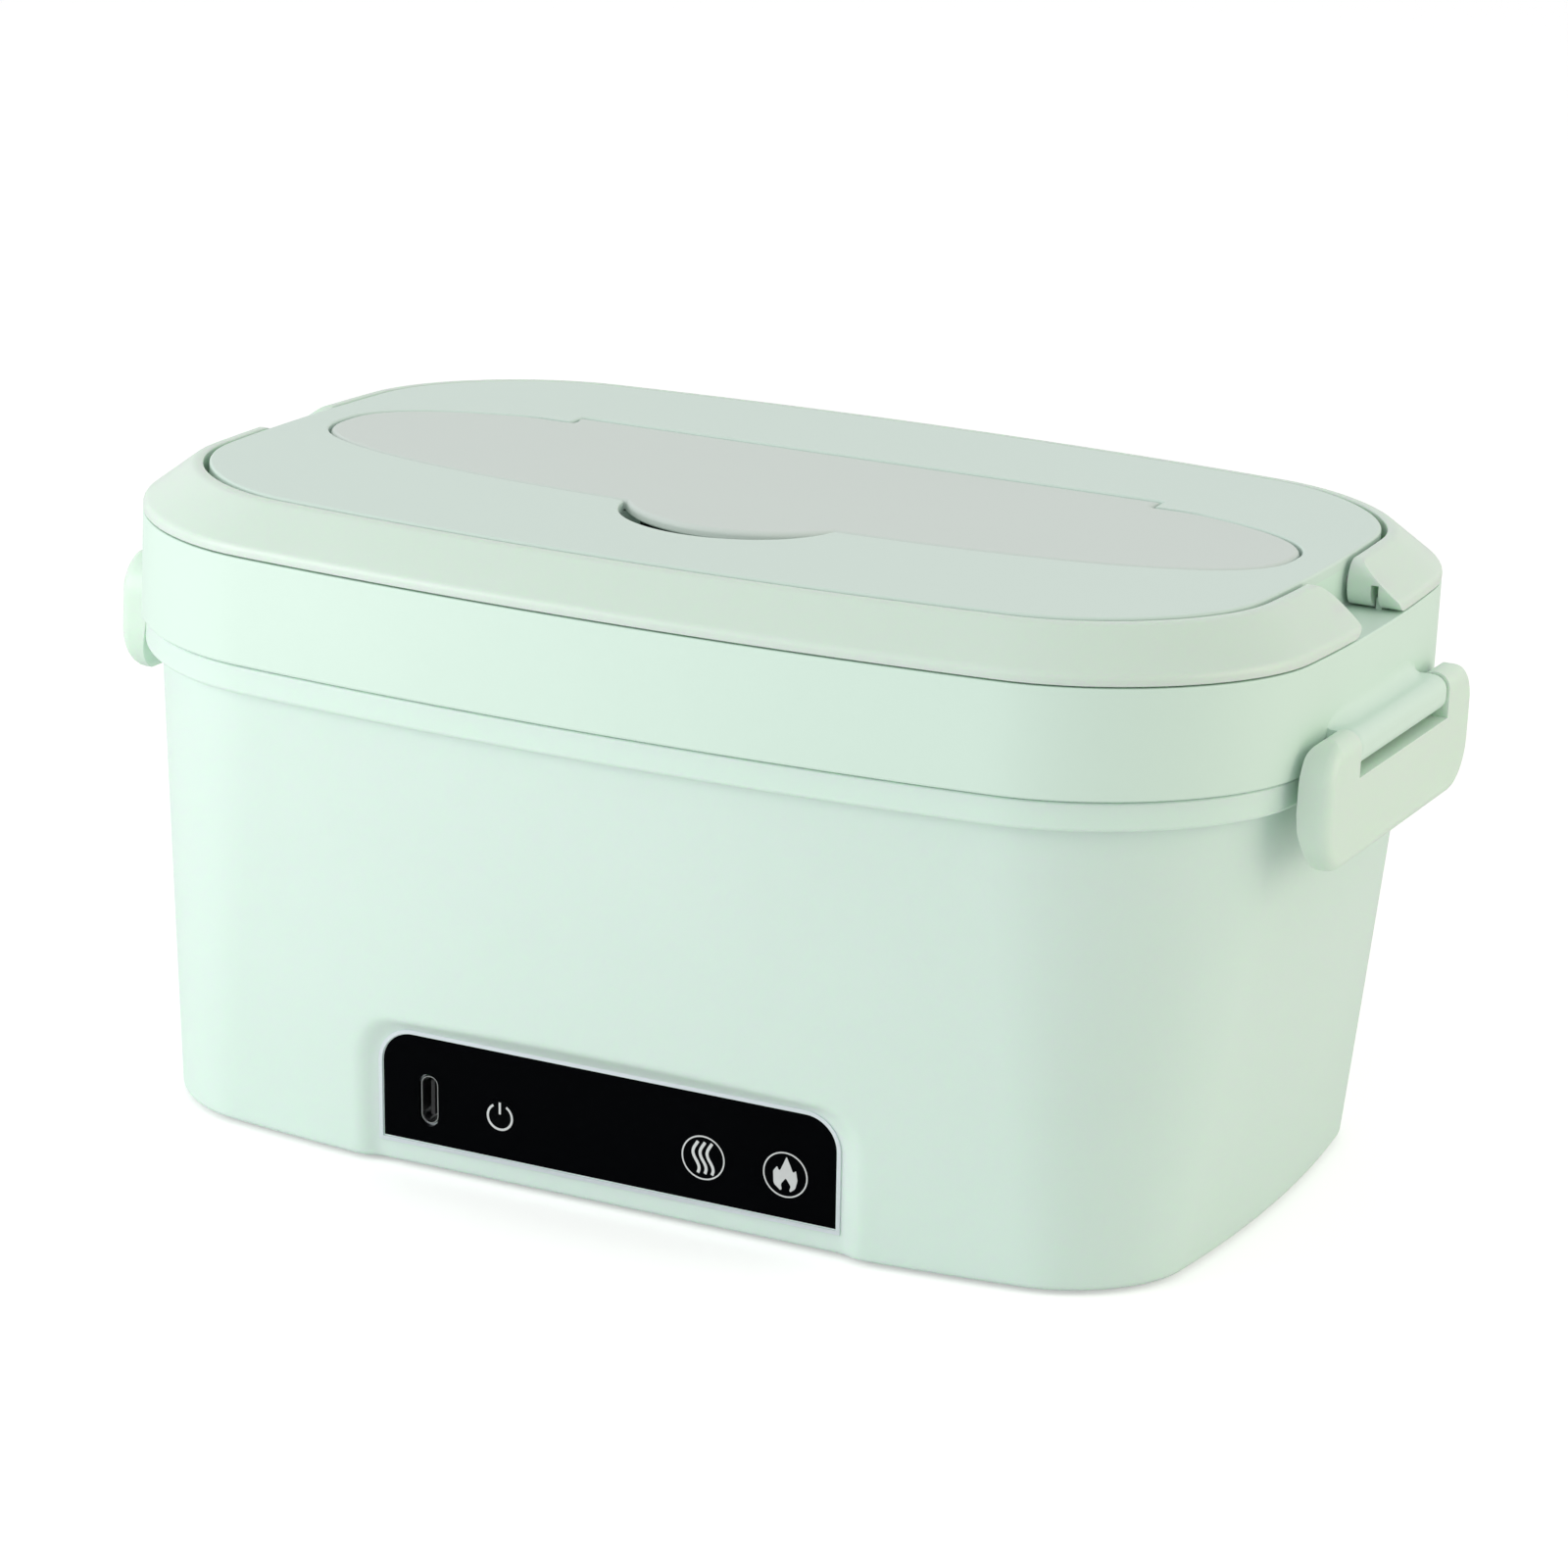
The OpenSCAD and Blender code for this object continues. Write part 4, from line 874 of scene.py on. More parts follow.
@dataclass(frozen=True)
class Tub:
    """The outer shell with its sunk niche for the panel, and the collar on it."""

    inset: float = 3.3
    end_taper: float = 7.9
    side_taper: float = 6.8
    bottom_corner: float = 18.0
    top_corner: float = 33.5
    wall: float = 2.2
    edge: float = 1.2
    height: float = 83.3
    fine_top: float = 36.0
    fine_step: float = 0.55
    front_steps: int = 300
    niche_floor: float = 0.4
    niche_edge: float = 0.7
    niche_gap: float = 0.1
    niche_top: float = 40.0
    niche_half: float = 66.0
    niche_front: float = -40.0
    cut: Flat = (-3.0, 6.0)
    foot: float = 2.6
    side: float = 0.8
    seam_gap: float = 0.3
    bore: Flat = (5.6, 9.0)
    spigot: Flat = (2.35, 3.8)
    spigot_lap: float = 0.4
    spigot_drop: float = 4.0

    def outline(self, z: float, inset: float, front: int = LONG_STEPS) -> list[Flat]:
        """Outline of the tub, without the niche.

        Args:
            z: Height.
            inset: How far it is moved in.
            front: Number of chords in the front side.

        Returns:
            The points of the outline.
        """
        t = (z - Z.body) / self.height
        return bowed(RIM.half_length - self.inset - self.end_taper * (1 - t) - inset,
                     RIM.half_width - self.inset - self.side_taper * (1 - t) - inset,
                     mix(self.bottom_corner, self.top_corner, t) - inset, RIM.long_bow, RIM.short_bow, front)

    def ring(self, z: float, inset: float) -> list[Point]:
        """Outline of the tub with the niche pressed into its front.

        Args:
            z: Height.
            inset: How far it is moved in.

        Returns:
            The points, of which those in the niche lie on its slopes.
        """
        ring = []
        for x, y in self.outline(z, inset, self.front_steps):
            if y < self.niche_front and abs(x) < self.niche_half and z < self.niche_top:
                along, depth, height = PANEL.local(x, y, z)
                rise = PANEL.slope(along, height) - self.niche_gap
                floor = -soft_max(0.0, rise, self.niche_floor) + inset
                x, y, _ = PANEL.world(along, soft_max(depth, floor, self.niche_edge), height)
            ring.append((x, y, z))
        return ring

    def shell(self) -> Shape:
        """The tub's wall, open below and above, with the opening for the panel."""
        fine = int((self.fine_top - Z.body - self.edge) / self.fine_step)
        levels = [(Z.body + self.edge * u, self.edge * v) for u, v in quarter(5)[:-1]]
        levels += [(Z.body + self.edge + self.fine_step * i, 0.0) for i in range(fine + 1)]
        levels += [(z, 0.0) for z in spread(levels[-1][0], Z.collar, 20)[1:]]
        levels += [(z, self.wall) for z in spread(Z.collar, self.fine_top, 8)]
        levels += [(z, self.wall) for z in spread(self.fine_top, Z.body, 30)[1:]]
        shape = Shape().loft([self.ring(z, inset) for z, inset in levels], closed=True)
        opening = PANEL.opening()
        cutter = Shape().loft([[PANEL.world(u, depth, v) for u, v in opening] for depth in self.cut])
        return shape.carve(cutter, Cut.AWAY)

    def collar(self) -> Shape:
        """The collar with its spigot inside the tub."""
        top, (throat, bore) = Z.seam - self.seam_gap, self.bore
        shape = RIM.sweep(rounded([
            (self.foot, Z.collar, 0.3), (self.side, Z.collar, 0.9), (self.side, top, 0.5), (throat, top, 0.1),
            (throat, Z.flange, 0), (bore, Z.flange, 0), (bore, Z.collar, 0)]))
        above, below = Z.collar + self.spigot_lap, Z.collar - self.spigot_drop
        outer, inner = self.spigot
        spigot = [(outer, above), (outer, below), (inner, below), (inner, above)]
        return shape.loft([level(self.outline(z, inset), z) for inset, z in spigot], closed=True)

    def build(self) -> None:
        """Makes the shell and the collar."""
        self.shell().piece("tub", BODY_MINT, Body.BASE, "mint_body", "outer_shell")
        self.collar().piece("collar", BODY_MINT, Body.BASE, "mint_body", "rim_collar")


@dataclass(frozen=True)
class Inside:
    """The heating well and the steel container that stands in it."""

    well_inset: float = 9.3
    well_rim: float = 6.0
    well_wall: float = 1.8
    well_flange: float = 1.5
    taper: float = 4.5
    edge: float = 7.0
    container_inset: float = 11.5
    container_rim: float = 7.0
    sheet: float = 0.8
    plate_inset: float = 34.0

    def bowl(self, bottom: float, inset: float, top: float, rim: float, sheet: float,
             step: float) -> list[Flat]:
        """Profile of a bowl with a flange, from the middle of its underside to that of its floor.

        Args:
            bottom: Height of its underside.
            inset: Inset of its wall at the top.
            top: Height of the flange's top face.
            rim: Inset of the flange's edge.
            sheet: Thickness of the wall.
            step: Thickness of the flange.

        Returns:
            The points as inset and height.
        """
        foot = inset + self.taper
        outer = [(foot + 2 * self.edge, bottom, 0), (foot, bottom, self.edge), (inset, top - step, 0.6)]
        flange = [(rim, top - step, step * 0.45), (rim, top, step * 0.45)]
        inner = [(inset + sheet, top, 1.2), (foot + sheet, bottom + sheet, self.edge),
                 (foot + 2 * self.edge, bottom + sheet, 0)]
        return rounded(outer + flange + inner, closed=False, steps=8)

    def build(self) -> None:
        """Makes the well and the container."""
        well = self.bowl(Z.well, self.well_inset, Z.flange + self.well_flange, self.well_rim, self.well_wall,
                         self.well_flange)
        holed = [(self.plate_inset, Z.well), *well, (self.plate_inset, Z.heater)]
        RIM.sweep(holed).piece("heating_bowl", WELL_GREY, Body.BASE, "grey_well", "heating_well")
        steel = RIM.sweep(self.bowl(Z.container, self.container_inset, Z.rim + self.sheet, self.container_rim,
                                    self.sheet, self.sheet), closed=False)
        steel.piece("steel_container", PRESSED_STEEL, Body.CONTAINER, "container_steel", "food_container")


@dataclass(frozen=True)
class Socket:
    """The USB socket's steel shell, a thin lip round a throat that narrows to its floor."""

    width: float = 3.3
    height: float = 9.0
    lip: float = 0.12
    skin: float = 0.35
    mouth: float = 0.45
    throat: float = 1.9
    floor: float = 6.2
    back: float = 7.0

    def ring(self, inset: float, depth: float) -> list[Point]:
        """Upright slot with round ends.

        Args:
            inset: How far it is moved in.
            depth: Depth behind the overlay's face.

        Returns:
            The points of the outline.
        """
        r = self.width / 2 - inset
        rise = (self.height - self.width) / 2
        outline = [*arc(0, rise, r, 0, 180, steps=16), *arc(0, -rise, r, 180, 360, steps=16)]
        return [PANEL.world(u + PANEL.socket_x, depth, v + PANEL.rise) for u, v in outline]

    def build(self) -> None:
        """Makes the shell."""
        profile = [(0, self.back), (0, self.mouth), (self.lip, self.mouth), (self.skin, self.throat),
                   (self.skin, self.floor)]
        shape = Shape().loft([self.ring(inset, depth) for inset, depth in profile])
        # The shell's darker steel is partly its plating and partly painted shade for the socket's dim inside.
        shape.piece("socket_shell", SOCKET_STEEL_WITH_PAINTED_SHADE, Body.BASE, "socket_steel", "usb_socket")


@dataclass(frozen=True)
class Prints:
    """Printed signs on the overlay and on the power button: an open ring, waves and a flame."""

    lift: float = 0.02
    thickness: float = 0.04
    line: float = 0.42
    ring_line: float = 0.27
    wave_line: float = 0.56
    power_r: float = 2.4
    power_drop: float = 0.3
    power_turn: Flat = (122.0, 418.0)
    power_bar: Flat = (0.5, 2.75)
    warm_r: float = 4.0
    wave_gap: float = 1.35
    wave_swing: float = 0.6
    wave_start: float = 0.1
    wave_half: float = 2.95
    wave_steps: int = 20
    heat_r: float = 4.1
    flame_scale: Flat = (1.05, 1.16)
    flame: tuple[Corner, ...] = (
        (-0.5, -2.9, 0.6), (-2.1, -1.7, 0.8), (-2.2, 0.3, 0.5), (-1.5, 1.2, 0.1), (-1.1, 0.3, 0.3),
        (-0.3, 1.9, 0.6), (0.2, 3.0, 0.1), (1.0, 1.4, 0.7), (1.4, 0.5, 0.2), (1.9, 1.0, 0.1),
        (2.2, -0.6, 0.7), (1.8, -2.0, 0.7), (0.6, -2.9, 0.4), (1.0, -1.7, 0.4), (0.1, -0.5, 0.2),
        (-0.8, -1.6, 0.5))

    def place(self, u: float, v: float, w: float, centre: Flat) -> Point:
        """Place of a sign's point, at share w of the print's thickness."""
        return PANEL.world(u + centre[0], -self.lift - w * self.thickness, v + centre[1])

    def ribbon(self, shape: Shape, path: Sequence[Flat], centre: Flat, width: float,
               closed: bool = False) -> None:
        """Adds a flat line along a path.

        Args:
            shape: Shape that it is added to.
            path: Points of the line's middle, about the sign's centre.
            centre: Place of the sign on the panel.
            width: Width of the line.
            closed: Whether the path is a loop.
        """
        rings = []
        for i, (u, v) in enumerate(path):
            before = path[i - 1] if closed or i else path[0]
            after = path[(i + 1) % len(path)] if closed or i < len(path) - 1 else path[-1]
            way = Vector((after[0] - before[0], after[1] - before[1])).normalized()
            a, b = ((u - way.y * width / 2 * sign, v + way.x * width / 2 * sign) for sign in (-1, 1))
            rings.append([self.place(*p, w, centre) for p, w in ((a, 0.0), (b, 0.0), (b, 1.0), (a, 1.0))])
        shape.loft(rings, closed)

    def circle(self, r: float, centre: Flat) -> Shape:
        """A thin ring, which starts a sign."""
        shape = Shape()
        self.ribbon(shape, arc(0, 0, r, 0, 360, steps=64)[:-1], centre, self.ring_line, closed=True)
        return shape

    def power(self) -> Shape:
        """An open ring with a bar at its top."""
        shape = Shape()
        centre = (PANEL.button_x, PANEL.rise - self.power_drop)
        self.ribbon(shape, arc(0, 0, self.power_r, *self.power_turn, steps=40), centre, self.line)
        self.ribbon(shape, [(0.0, v) for v in self.power_bar], centre, self.line)
        return shape

    def warm(self) -> Shape:
        """Three waves in a ring."""
        centre = (PANEL.warm_x, PANEL.rise)
        shape = self.circle(self.warm_r, centre)
        for shift in (-self.wave_gap, 0.0, self.wave_gap):
            wave = []
            for i, v in enumerate(spread(-self.wave_half, self.wave_half, self.wave_steps)):
                swing = math.sin(math.tau * (i / self.wave_steps + self.wave_start))
                wave.append((shift + self.wave_swing * swing, v))
            self.ribbon(shape, wave, centre, self.wave_line)
        return shape

    def heat(self) -> Shape:
        """A flame in a ring."""
        centre = (PANEL.heat_x, PANEL.rise)
        shape = self.circle(self.heat_r, centre)
        flame = [(u * self.flame_scale[0], v * self.flame_scale[1]) for u, v in rounded(self.flame)]
        return shape.loft([[self.place(u, v, w, centre) for u, v in flame] for w in (0.0, 1.0)])

    def build(self) -> None:
        """Makes the three signs."""
        self.power().piece("power_sign", INK_WHITE, Body.BUTTON, "white_plastic")
        self.warm().piece("warm_sign", INK_WHITE, Body.BASE, "white_plastic")
        self.heat().piece("heat_sign", INK_WHITE, Body.BASE, "white_plastic")


# ---------------------------------------------------------------- lid


@dataclass(frozen=True)
class LidWall:
    """The lid's wall, shelf and deck wall, with the barrels that the latches turn on."""

    wall: float = 2.2
    ledge: float = 3.7
    deck: float = 10.7
    deck_wall: float = 2.0
    barrel_r: float = 2.7
    barrel_out: float = 3.0
    barrel_z: float = 93.4
    barrel_half: float = 23.2
    barrel_sag: float = 1.1
    barrel_start: float = -160.0
    barrel_root: float = 1.2
    barrel_foot: float = 2.0
    barrel_edge: float = 0.35
    hollow_fade: float = 9.0
    hollow_least: float = 0.2
    stop_x: float = 107.2
    pivot_y: float = 13.0
    stop_half: Flat = (0.5, 0.6)
    stop_rise: float = 2.0
    stop_root: float = 0.5

    def shell(self) -> Shape:
        """The wall, the shelf under the handles and the wall round the deck."""
        deck, under = self.deck + self.deck_wall, Z.shelf - self.wall
        return RIM.sweep(rounded([
            (0, Z.seam, 0.5), (0, Z.shelf, 0.3), (self.deck, Z.shelf, 0.3), (self.deck, Z.plate, 0),
            (deck, Z.plate, 0), (deck, under, 0), (self.ledge, under, 0), (self.ledge, Z.liner_top, 0),
            (self.wall, Z.liner_top, 0), (self.wall, Z.seam, 0.3)]))

    def barrel(self, shape: Shape, side: int) -> None:
        """Adds a barrel that flows into the wall in a hollow curve, which fades at its ends.

        Args:
            shape: Shape that it is added to.
            side: 1 for the right end of the lid, -1 for the left.
        """
        axis, z = RIM.half_length + self.barrel_out, self.barrel_z
        rings = []
        for y in spread(-self.barrel_half, self.barrel_half, 48):
            x, inside = RIM.wall_x(y), self.barrel_half - abs(y)
            fade = math.sin(math.pi / 2 * min(1.0, inside / self.hollow_fade))
            hollow = (axis - x) * mix(self.hollow_least, 1.0, fade)
            shrink = self.barrel_edge * (1 - min(1.0, inside / self.barrel_edge))
            r, root, top = self.barrel_r - shrink, x - self.barrel_root, z + self.barrel_r + hollow
            profile = [(root, z - self.barrel_foot),
                       *arc(axis, z - self.barrel_sag, r, self.barrel_start, 0, steps=14),
                       *arc(axis, z, r, 0, 90, steps=10),
                       *arc(x + hollow, top, hollow + shrink, 270, 180, steps=10), (root, top)]
            rings.append([(side * u, y, v) for u, v in profile])
        shape.loft(rings)

    def stop(self, shape: Shape, side: int, end: int) -> None:
        """Adds a small post that runs in the slot of a handle's arm.

        Args:
            shape: Shape that it is added to.
            side: 1 for the right end of the lid, -1 for the left.
            end: 1 for the back half of the handle, -1 for the front.
        """
        x, y, (half_x, half_y) = side * self.stop_x, end * self.pivot_y, self.stop_half
        shape.block((x - half_x, y - half_y, Z.shelf - self.stop_root),
                    (x + half_x, y + half_y, Z.shelf + self.stop_rise))

    def build(self) -> None:
        """Makes the lid wall."""
        shape = self.shell()
        for side in (-1, 1):
            self.barrel(shape, side)
            for end in (-1, 1):
                self.stop(shape, side, end)
        shape.piece("lid_wall", LID_MINT, Body.LID, "mint_lid", "lid_shell")


@dataclass(frozen=True)
class Liner:
    """The lid's inner plate, with its rim, groove and plug, and the seal under it."""

    hub: float = 60.0
    sheet: float = 1.6
    rim: Flat = (2.4, 3.9)
    groove: Flat = (5.6, 6.8)
    groove_rise: float = 0.3
    plug: Flat = (13.4, 14.9)
    plug_drop: float = 3.0
    seal: Flat = (7.2, 11.0)

    def plate(self) -> Shape:
        """The plate, from the middle of its underside round to that of its top."""
        (out, back), (near, far), (plug, core) = self.rim, self.groove, self.plug
        foot, roof, top = Z.rim - self.plug_drop, Z.gasket + self.groove_rise, Z.liner + self.sheet
        return RIM.sweep(rounded([
            (self.hub, Z.liner, 0), (core, Z.liner, 0.4), (core, foot, 0.5), (plug, foot, 0.5),
            (plug, Z.liner, 0.3), (far, Z.liner, 0.2), (far, roof, 0.3), (near, roof, 0.3),
            (near, Z.liner, 0.3), (out, Z.liner, 0), (out, Z.liner_top, 0.3), (back, Z.liner_top, 0.3),
            (back, top, 0.5), (self.hub, top, 0)]), closed=False)

    def build(self) -> None:
        """Makes the plate and the seal."""
        self.plate().piece("inner_lid", LINER_WHITE, Body.LID, "white_plastic", "lid_liner")
        near, far = self.seal
        seal = RIM.sweep(rounded([(near, Z.gasket, 0.5), (far, Z.gasket, 0.5), (far, Z.liner, 0),
                                  (near, Z.liner, 0)]))
        seal.piece("seal_ring", SILICONE, Body.LID, "seal_silicone", "lid_gasket")


def directions() -> tuple[float, ...]:
    """Directions from the cover's centre, in radians, closer together at the ends of the finger recess."""
    start, step, count = 36, 0.35, 60
    fine = [math.radians(-90 + side * (start + i * step)) for side in (-1, 1) for i in range(count)]
    even = [math.radians(-90 + i * 1.0) for i in range(360)]
    return tuple(sorted({round(a % math.tau, 5) for a in even + fine}))


@dataclass(frozen=True)
class Cutlery:
    """The deck with its cutlery tray and finger recess, and the hinged cover over it."""

    offset: float = 2.9
    half_length: float = 94.0
    half_width: float = 29.4
    power: float = 2.5
    oval_steps: int = 240
    gap: float = 0.5
    back: float = 26.4
    ledge: float = 2.5
    skin: float = 1.5
    lip: float = 0.4
    brow: float = 0.5
    recess: Flat = (-23.6, 20.6)
    recess_depth: float = 9.5
    recess_rise: float = 12.0
    recess_slack: float = 0.05
    hinge_depth: float = 4.0
    hinge_step: float = 0.6
    cover_depth: float = 2.1
    tab: Flat = (-13.0, 24.2)
    hinge_half: float = 58.6
    hinge_y: float = 30.0
    hinge_r: float = 1.8
    hinge_lean: float = 0.3
    hinge_steps: int = 32
    thickness: float = 2.0
    edge: float = 1.0
    chamfer: float = 0.3
    angles: tuple[float, ...] = field(default_factory=directions)

    def oval(self, grow: float) -> list[Flat]:
        """The cover's oval.

        Args:
            grow: How much it is grown.

        Returns:
            The points of the outline.
        """
        points = []
        for i in range(self.oval_steps):
            turn = math.tau * i / self.oval_steps
            c, s = math.cos(turn), math.sin(turn)
            x = math.copysign(abs(c) ** (2 / self.power), c) * (self.half_length + grow)
            y = math.copysign(abs(s) ** (2 / self.power), s) * (self.half_width + grow)
            points.append((x, y + self.offset))
        return points

    def sized(self, circle: Flat, grow: float, hinge: float | None) -> list[Flat]:
        """Outline of the oval, cut straight at its back, with a circle at its front and a box at its hinge.

        Args:
            circle: Centre along y and radius of the circle, or a radius of 0 for none.
            grow: How much the whole outline is grown.
            hinge: Back edge of the hinge's box, or None for no box.

        Returns:
            The points, one for each direction.
        """
        oval, centre = self.oval(grow), (0.0, self.offset)
        disc = arc(0, circle[0], circle[1] + grow, 0, 360, steps=180)[:-1] if circle[1] else []
        half, cut = self.hinge_half + grow, self.back + min(grow, self.gap) - self.offset
        points = []
        for angle in self.angles:
            c, s = math.cos(angle), math.sin(angle)
            far = reach(oval, centre, angle)
            if s > 0:
                far = min(far, cut / s)
            if disc:
                far = max(far, reach(disc, centre, angle))
            if hinge is not None and s > 0:
                across = half / abs(c) if abs(c) > 1e-9 else FAR
                far = max(far, min(across, (hinge + grow - self.offset) / s))
            points.append((c * far, self.offset + s * far))
        return points

    def depth(self, x: float, y: float) -> float:
        """Depth of the opening in the deck at a place on its edge.

        Args:
            x: Place along the lid.
            y: Place across the lid.

        Returns:
            The depth in the finger recess, at the hinge or under the cover.
        """
        off = math.hypot(x, y - self.recess[0]) - self.recess[1]
        if abs(off) < self.recess_slack and y < self.recess[0] + self.recess_rise:
            return self.recess_depth
        return self.hinge_depth if y > self.back + self.hinge_step else self.cover_depth

    def deck(self) -> Shape:
        """The deck's plate, the recess and the tray, as one closed skin."""
        tray, below = (self.sized((0.0, 0.0), grow, None) for grow in (-self.ledge, self.skin - self.ledge))

        def hole(grow: float) -> list[Flat]:
            """Outline of the opening in the deck, grown."""
            recess = (self.recess[0], self.recess[1] - self.gap)
            return self.sized(recess, self.gap + grow, self.hinge_y + self.hinge_r)

        mouth, thick = hole(0.0), hole(self.skin)
        depths = [self.depth(x, y) for x, y in mouth]
        edge, brim = RIM.outline(LidWall.deck), RIM.outline(LidWall.deck + self.brow)
        centre = (0.0, self.offset)
        rays = [(reach(edge, centre, angle), reach(brim, centre, angle)) for angle in self.angles]

        def outer(share: float, z: float) -> list[Point]:
            """Ring between the deck's edge and its brim."""
            return [(math.cos(a) * mix(e, b, share), self.offset + math.sin(a) * mix(e, b, share), z)
                    for a, (e, b) in zip(self.angles, rays)]

        def sunk(points: Sequence[Flat], extra: float) -> list[Point]:
            """Points at the depth of their part of the opening."""
            return [(x, y, Z.top - depth - extra) for (x, y), depth in zip(points, depths)]

        rings = [level(tray, Z.tray), sunk(tray, 0.0), sunk(mouth, 0.0)]
        rings += [level(hole(self.lip * u), Z.top - self.lip * v) for u, v in quarter(4)]
        rings += [outer(v, Z.top - self.brow * u) for u, v in quarter(4)]
        rings += [outer(0.0, Z.plate), level(thick, Z.plate), sunk(thick, self.skin), sunk(below, self.skin),
                  level(below, Z.tray - self.skin)]
        return Shape().loft(rings)

    def cover(self) -> Shape:
        """The hinged cover with its finger tab and hinge barrel."""
        under = Z.top - self.thickness
        rings = [level(self.sized(self.tab, grow, self.hinge_y), z)
                 for grow, z in ((-self.chamfer, under), (0.0, under + self.chamfer))]
        back = self.hinge_y + self.hinge_lean
        rings += [level(self.sized(self.tab, -self.edge * u, back), Z.top - self.edge * v)
                  for u, v in quarter(5)]
        shape = Shape().loft(rings)
        axis, half, r = Z.top - self.hinge_r, self.hinge_half, self.hinge_r
        ends = rounded([(0, -half, 0), (r, -half, self.chamfer), (r, half, self.chamfer), (0, half, 0)],
                       closed=False)
        turns = [math.tau * i / self.hinge_steps for i in range(self.hinge_steps)]
        rod = [[(x, self.hinge_y + out * math.cos(t), axis + out * math.sin(t)) for t in turns]
               for out, x in ends[1:-1]]
        return shape.loft(rod)

    def build(self) -> None:
        """Makes the deck and the cover."""
        self.deck().piece("deck", DECK_MINT, Body.LID, "deck_mint", "top_deck")
        self.cover().piece("compartment_cover", COVER_GREY, Body.COVER, "cover_grey", "cutlery_cover")


@dataclass(frozen=True)
class Handles:
    """The two halves of the handle, which lie round the deck and turn up."""

    inner: float = 9.7
    crest: float = 1.2
    crest_edge: float = 0.4
    lip: float = 1.7
    pivot_y: float = 13.0
    end_r: float = 3.7
    behind: float = 90.0
    spare: float = 3.0
    slot_x: float = 107.2
    slot_half: Flat = (0.7, 0.75)
    nose_edge: float = 1.0
    foot_edge: float = 0.2

    def half(self) -> Shape:
        """The front half, with rounded ends about its pivots."""
        ring = RIM.sweep(rounded([
            (0, Z.ring, self.foot_edge), (0, Z.ring + self.lip, 2.0),
            (self.inner - self.crest - self.crest_edge, Z.crest, 2.4), (self.inner, Z.crest, 0.35),
            (self.inner, Z.ring, 0)], steps=6))
        end, low, high = -self.pivot_y, Z.ring - self.spare, Z.crest + self.spare
        rise = Z.crest - Z.pivot - self.end_r
        nose = [(-self.behind, low), (end, low), *arc(end, Z.pivot, self.end_r, 270, 360, steps=10),
                *arc(end, Z.pivot + rise, self.end_r, 0, 90, steps=10), (end, high), (-self.behind, high)]
        ring.carve(prism(nose, -FAR, FAR, "x"), Cut.KEEP)
        half_x, half_y = self.slot_half
        for side in (-1, 1):
            x = side * self.slot_x
            slot = Shape().block((x - half_x, end - half_y, low), (x + half_x, 0, Z.pivot + half_y))
            ring.carve(slot, Cut.AWAY)
        return ring.soften(self.nose_edge, angle=50, segments=4,
                           where=lambda p: p.y > end - 1 and p.z > Z.ring + self.foot_edge)

    def build(self) -> None:
        """Makes the two halves."""
        front, back = self.half(), self.half().mirrored(1)
        front.piece("handle_half_front", HANDLE_MINT, Body.HANDLE_FRONT, "mint_handle", "handle_front")
        back.piece("handle_half_back", HANDLE_MINT, Body.HANDLE_BACK, "mint_handle", "handle_back")


